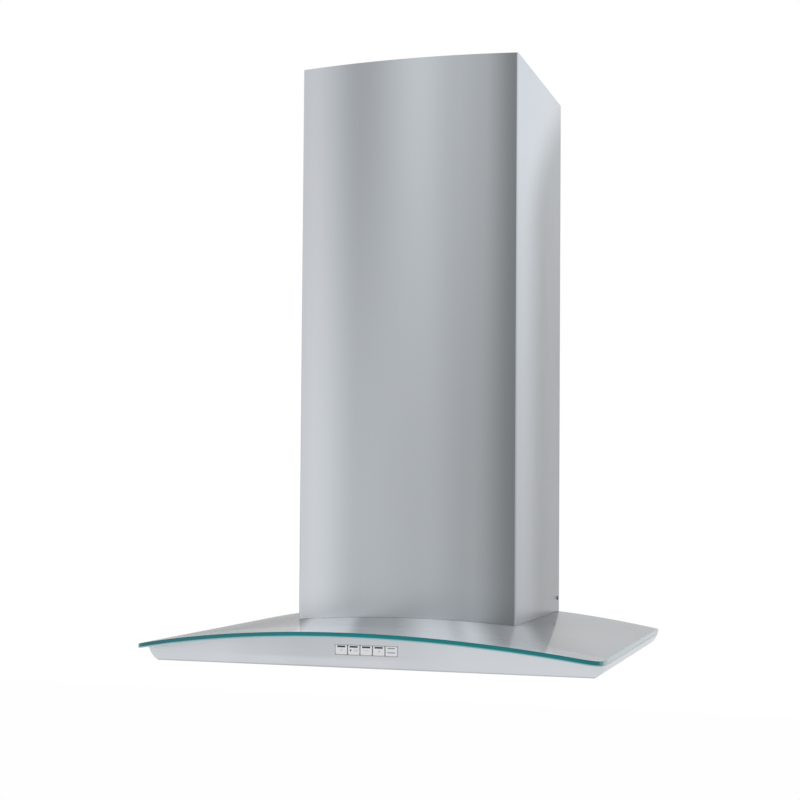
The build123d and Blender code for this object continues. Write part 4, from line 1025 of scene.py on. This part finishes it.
def lamp(side, bezel, lens, bulb):
    """Lamp turned about the vertical: a housing whose rims roll over in half circles, a lens whose
    height waves as a cosine of the radius, and a capsule bulb with a round end."""
    centre = (side * LAMP_SIDE, LAMP_BACK, 0.0)
    up = (0.0, 0.0, 1.0)
    word = "right" if side > 0 else "left"
    shape = Shape()
    roll = profile_arc(0.0335, 0.0036, 0.0005, 0.0004, 180, 6)
    inner = profile_arc(0.0224, 0.0036, -0.0004, -0.0004, 180, 6)
    cup = [(0.029, 0.004), (0.029, 0.0192), (0.0282, 0.020), (0.0, 0.020), (0.0, 0.019)]
    wall = [(0.028, 0.019), (0.028, 0.004)]
    turned(shape, roll + cup + wall + inner + [(0.0335, 0.0032)], centre, up, 72)
    shape.build(f"lamp_bezel_{word}", [bezel], f"lamp_housing_{word}")
    shape = Shape()
    radii = np.linspace(0.0, 0.0270, 40)
    face = [(r, 0.0043 + 0.00022 * (0.5 - 0.5 * math.cos(r * 2 * math.pi / 0.0027))) for r in radii]
    turned(shape, face + [(0.0277, 0.0043), (0.0277, 0.0063), (0.0, 0.0063)], centre, up, 72)
    shape.build(f"lamp_glass_{word}", [lens], f"lamp_lens_{word}", sharp=50)
    shape = Shape()
    round_end = profile_arc(0.0, 0.0108, 0.0043, 0.0043, 90, 8)
    turned(shape, round_end + [(0.0043, 0.0142), (0.0043, 0.0147), (0.0, 0.0147)], centre, up, 32)
    socket = [(0.0, 0.0147), (0.0058, 0.0147), (0.006, 0.0149), (0.006, 0.0187), (0.0, 0.0187)]
    turned(shape, socket, centre, up, 32, finish=1)
    shape.build(f"capsule_bulb_{word}", bulb, f"lamp_bulb_{word}")


def filter_weave(side, finish):
    """Aluminium grease mesh: crossed wires, each a small tube that waves over and under."""
    word = "right" if side > 0 else "left"
    low = np.array([side * FILTER_SIDE - FILTER_HALF, FILTER_FRONT])
    high = np.array([side * FILTER_SIDE + FILTER_HALF, FILTER_REAR])
    middle_z, wave, wire, pitch = 0.0058, 0.00022, 0.00026, 0.0045
    ring = np.linspace(0, 2 * np.pi, 6, endpoint=False)
    shape = Shape()
    for along in (0, 1):
        other = 1 - along
        count = int((high[other] - low[other]) / pitch)
        run = np.arange(low[along], high[along], pitch)
        run = np.append(run, high[along])
        for number in range(count + 1):
            place_across = low[other] + (high[other] - low[other]) * number / count
            up = np.where((np.arange(len(run)) + number + along) % 2 == 0, wave, -wave)
            points = np.zeros((len(run), 6, 3))
            points[..., along] = run[:, None]
            points[..., other] = place_across + wire * np.cos(ring)
            points[..., 2] = middle_z + up[:, None] + wire * np.sin(ring)
            shape.solid(points)
    return shape.build(f"grease_mesh_{word}", [finish], f"filter_mesh_{word}", sharp=60, weld=1e-7)


# ------------------------ studio


def pale_floor():
    """Plain floor, white where the camera, metal or glass sees it, with only a trace of shadow."""
    corners = [(-FLOOR_HALF, -FLOOR_HALF), (FLOOR_HALF, -FLOOR_HALF)]
    corners += [(FLOOR_HALF, FLOOR_HALF), (-FLOOR_HALF, FLOOR_HALF)]
    mesh = bpy.data.meshes.new("floor")
    mesh.from_pydata([(x, y, FLOOR_HEIGHT) for x, y in corners], [], [(0, 1, 2, 3)])
    floor = added("floor", mesh)
    finish = Finish("pale_floor")
    grain = finish.noise(30.0, 3.0, 0.5)
    pale = finish.brighter((0.93, 0.93, 0.93, 1.0), 0.98 + 0.04 * grain)
    matt = finish.shader(Base_Color=pale, Roughness=0.9)
    white = finish.node("ShaderNodeEmission", {}, {0: (1.0, 1.0, 1.0, 1.0), 1: 1.0}).outputs[0]
    path = finish.node("ShaderNodeLightPath").outputs
    seen = Reading(finish, path["Is Camera Ray"]).most(Reading(finish, path["Is Glossy Ray"]))
    seen = seen.most(Reading(finish, path["Is Transmission Ray"]))
    mesh.materials.append(finish.done(finish.blended(seen * 0.97, matt, white)))


def studio_light():
    """White surroundings, softer for diffuse light, and one large lamp above the left front."""
    world = bpy.data.worlds.new("studio")
    world.use_nodes = True
    nodes, links = world.node_tree.nodes, world.node_tree.links
    nodes.clear()
    path = nodes.new("ShaderNodeLightPath").outputs
    seen = path["Is Camera Ray"]
    for name in ("Is Glossy Ray", "Is Transmission Ray"):
        most = nodes.new("ShaderNodeMath")
        most.operation = "MAXIMUM"
        links.new(seen, most.inputs[0])
        links.new(path[name], most.inputs[1])
        seen = most.outputs[0]
    strength = nodes.new("ShaderNodeMapRange")
    strength.inputs["To Min"].default_value = 0.72
    strength.inputs["To Max"].default_value = 1.0
    links.new(seen, strength.inputs["Value"])
    background = nodes.new("ShaderNodeBackground")
    background.inputs[0].default_value = (1.0, 1.0, 1.0, 1.0)
    links.new(strength.outputs[0], background.inputs[1])
    links.new(background.outputs[0], nodes.new("ShaderNodeOutputWorld").inputs[0])
    bpy.context.scene.world = world
    lamp_data = bpy.data.lights.new("soft_lamp", "AREA")
    lamp_data.shape = "SQUARE"
    lamp_data.size = 2.4
    lamp_data.energy = 34.0
    lamp_object = added("soft_lamp", lamp_data)
    lamp_object.location = (-1.5, -2.2, 2.4)
    aim = Vector((0, 0, 0.3)) - lamp_object.location
    lamp_object.rotation_euler = aim.to_track_quat("-Z", "Y").to_euler()
    lamp_object.visible_glossy = False
    lamp_object.visible_camera = False


def photograph_camera():
    """The photograph's view: a little turned to the right side and tilted up, and hardly rolled."""
    turn, tilt, roll = 0.30389, 0.03116, 0.00716
    right = Vector((math.cos(turn), math.sin(turn), 0.0))
    ahead = Vector(
        (-math.sin(turn) * math.cos(tilt), math.cos(turn) * math.cos(tilt), math.sin(tilt))
    )
    top = right.cross(ahead)
    level = right * math.cos(roll) + top * math.sin(roll)
    upright = top * math.cos(roll) - right * math.sin(roll)
    data = bpy.data.cameras.new("camera")
    data.sensor_width = 36.0
    data.lens = 67.998
    data.shift_y = 0.0625
    data.clip_end = 60.0
    camera = added("camera", data)
    axes = Matrix((level, upright, -ahead)).transposed().to_4x4()
    camera.matrix_world = Matrix.Translation(CAMERA_PLACE) @ axes
    bpy.context.scene.camera = camera


# ------------------------ the hood

photograph_camera()
studio_light()
pale_floor()
bpy.context.scene.view_settings.view_transform = "Standard"

chimney_finish = chimney_steel()
body_finish = fascia_steel()
glass_finish = canopy_glass()
edge_finish = glass_edge()
inner_steel = brushed("extension_steel", (0.40, 0.425, 0.45), 2)
panel_steel = brushed("panel_steel", (0.42, 0.44, 0.46), 0)
zinc = zinc_plate("zinc_sheet", (0.56, 0.57, 0.59))
aluminium = drawn_steel("filter_aluminium", (0.70, 0.71, 0.73), 0.32, 900.0)
frame_aluminium = brushed("filter_frame_aluminium", (0.56, 0.57, 0.59), 0, 0.34)
screw_finish = drawn_steel("screw_steel", (0.42, 0.42, 0.43), 0.28)
polished = drawn_steel("shaft_steel", (0.62, 0.63, 0.65), 0.14)
spring_steel = drawn_steel("spring_steel", (0.45, 0.46, 0.48), 0.24)
bezel_finish = brushed("lamp_bezel_steel", (0.50, 0.51, 0.53), 0, 0.24)
black_plastic = moulded("black_plastic", (0.022, 0.022, 0.024), 0.5)
frame_plastic = button_frame()
grey_plastic = moulded("grey_plastic", (0.19, 0.20, 0.21), 0.52)
white_plastic = moulded("white_plastic", (0.74, 0.74, 0.72), 0.45, spread=0.06)
rubber = moulded("pad_rubber", (0.02, 0.02, 0.021), 0.72, 900.0, 0.00006)
# the foam is pale, and painted paler still to lift the shade in the narrow gap under the glass
foam = moulded("pale_foam", (0.78, 0.80, 0.81), 0.9, 1100.0, 0.0002)
motor_paint = moulded("motor_enamel", (0.035, 0.037, 0.042), 0.36, 1500.0, 0.00004)
board_lacquer = moulded("board_lacquer", (0.02, 0.11, 0.05), 0.3, 500.0, 0.00006)

glass_canopy(glass_finish, edge_finish)
glass_seal(foam)
folded_cover(
    "bowed_chimney",
    0.0,
    lambda x: arch(x, ARCH_RADIUS + CHIMNEY_LIFT),
    CHIMNEY_TOP,
    chimney_finish,
    "chimney_cover",
)
folded_cover(
    "inner_chimney",
    EXTENSION_INSET,
    lambda x: np.full(np.shape(x), EXTENSION_BOTTOM),
    EXTENSION_TOP,
    inner_steel,
    "chimney_extension",
)



def crossed(x, reach, wide):
    """Two crossed bars of a button's symbol."""
    return [("bar", (x, -0.0004), size, 0.3) for size in ((reach, wide), (wide, reach))]


# marks of a symbol: kind, middle as seen from the button's own, size and darkness
indicator = ("bar", (0.0, 0.0041), (0.0106, 0.0022), 1.0)
button_marks = [
    [indicator, *crossed(0.0, 0.0036, 0.0009)],
    [
        indicator,
        ("dot", (-0.0040, -0.0004), (0.0012, 0.0), 0.9),
        ("bar", (0.0028, 0.0003), (0.0056, 0.0007), 0.35),
        ("bar", (0.0028, -0.0011), (0.0056, 0.0007), 0.35),
    ],
    [indicator, ("bar", (0.0, -0.0004), (0.0068, 0.0008), 0.3)],
    [indicator, *crossed(0.0006, 0.0034, 0.0008)],
    [
        ("bar", (0.0, 0.0038), (0.0092, 0.0015), 0.7),
        ("bar", (0.0, -0.0015), (0.0104, 0.0013), 0.65),
    ],
]
for number, marks in enumerate(button_marks, start=1):
    middle = (number - 3) * BUTTON_PITCH
    button(number, middle, button_silver(middle, marks))



def motor_circle(x, reach):
    """Three screws round the fan's axis, at this distance from it, that face left."""
    return [
        ((x, FAN_Y + reach * math.cos(a), FAN_Z + reach * math.sin(a)), (-1, 0, 0))
        for a in np.radians((90, 210, 330))
    ]


# length of the shank, and the place and direction of each screw
screw_places = {
    "housing_screws": (
        0.0026,
        [((s * 0.125, y, 0.055), (s, 0, 0)) for s in (-1, 1) for y in (-0.08125, -0.20375)],
    ),
    "panel_screws": (
        0.0036,
        [((x, y, 0.003), (0, 0, -1)) for x in (-0.2765, 0.2765) for y in (-0.438, -0.223, -0.008)],
    ),
    "chimney_screws": (0.0043, [((s * 0.152, -0.010, 0.065), (s, 0, 0)) for s in (-1, 1)]),
    "extension_screws": (0.0043, [((s * 0.148, -0.0135, 0.778), (s, 0, 0)) for s in (-1, 1)]),
    "scroll_screws": (
        0.0224,
        [
            ((0.012, y, z), (1, 0, 0))
            for y, z in [(-0.0365, 0.166), (-0.1385, 0.064), (-0.2485, 0.174)]
        ],
    ),
    "motor_screws": (0.006, motor_circle(-0.060, 0.05535) + motor_circle(-0.057, 0.070)),
    "collar_screws": (
        0.006,
        [((x, DUCT_Y + y, 0.302), (0, 0, 1)) for x in COLLAR_SCREWS for y in COLLAR_SCREWS],
    ),
}
for node, (shank, places) in screw_places.items():
    screw_group(node + "_pan_head", node, places, shank, screw_finish)

lens_finish = moulded("prismatic_lens", (0.72, 0.74, 0.75), 0.2, 600.0, 0.0001)
bulb_finish = [moulded("bulb_glass", (0.70, 0.70, 0.66), 0.15), white_plastic]
for side in (-1, 1):
    lamp(side, bezel_finish, lens_finish, bulb_finish)
    filter_weave(side, aluminium)

carried = {
    body_finish: ["canopy_body"],
    panel_steel: ["underside_panel"],
    zinc: [
        "blower_housing", "foot_bracket", "ceiling_bracket", "wall_rail", "housing_hook",
        "glass_clips", "motor_bracket", "capacitor_clip",
    ],
    frame_aluminium: ["filter_frame_left", "filter_frame_right"],
    spring_steel: ["filter_clips"],
    polished: ["fan_shaft", "flap_pins"],
    black_plastic: [
        "exhaust_collar", "flap_left", "flap_right", "impeller", "terminal_box", "terminal_lid",
        "tact_switches",
    ],
    frame_plastic: ["button_carrier"],
    grey_plastic: ["scroll_left", "scroll_right", "cable_gland", "board_cover"],
    white_plastic: ["capacitor", "chimney_glides", "lamp_transformer"],
    rubber: ["glass_clip_pads"],
    motor_paint: ["motor"],
    board_lacquer: ["control_board"],
}
for finish, nodes in carried.items():
    for node in nodes:
        refined(node, finish)
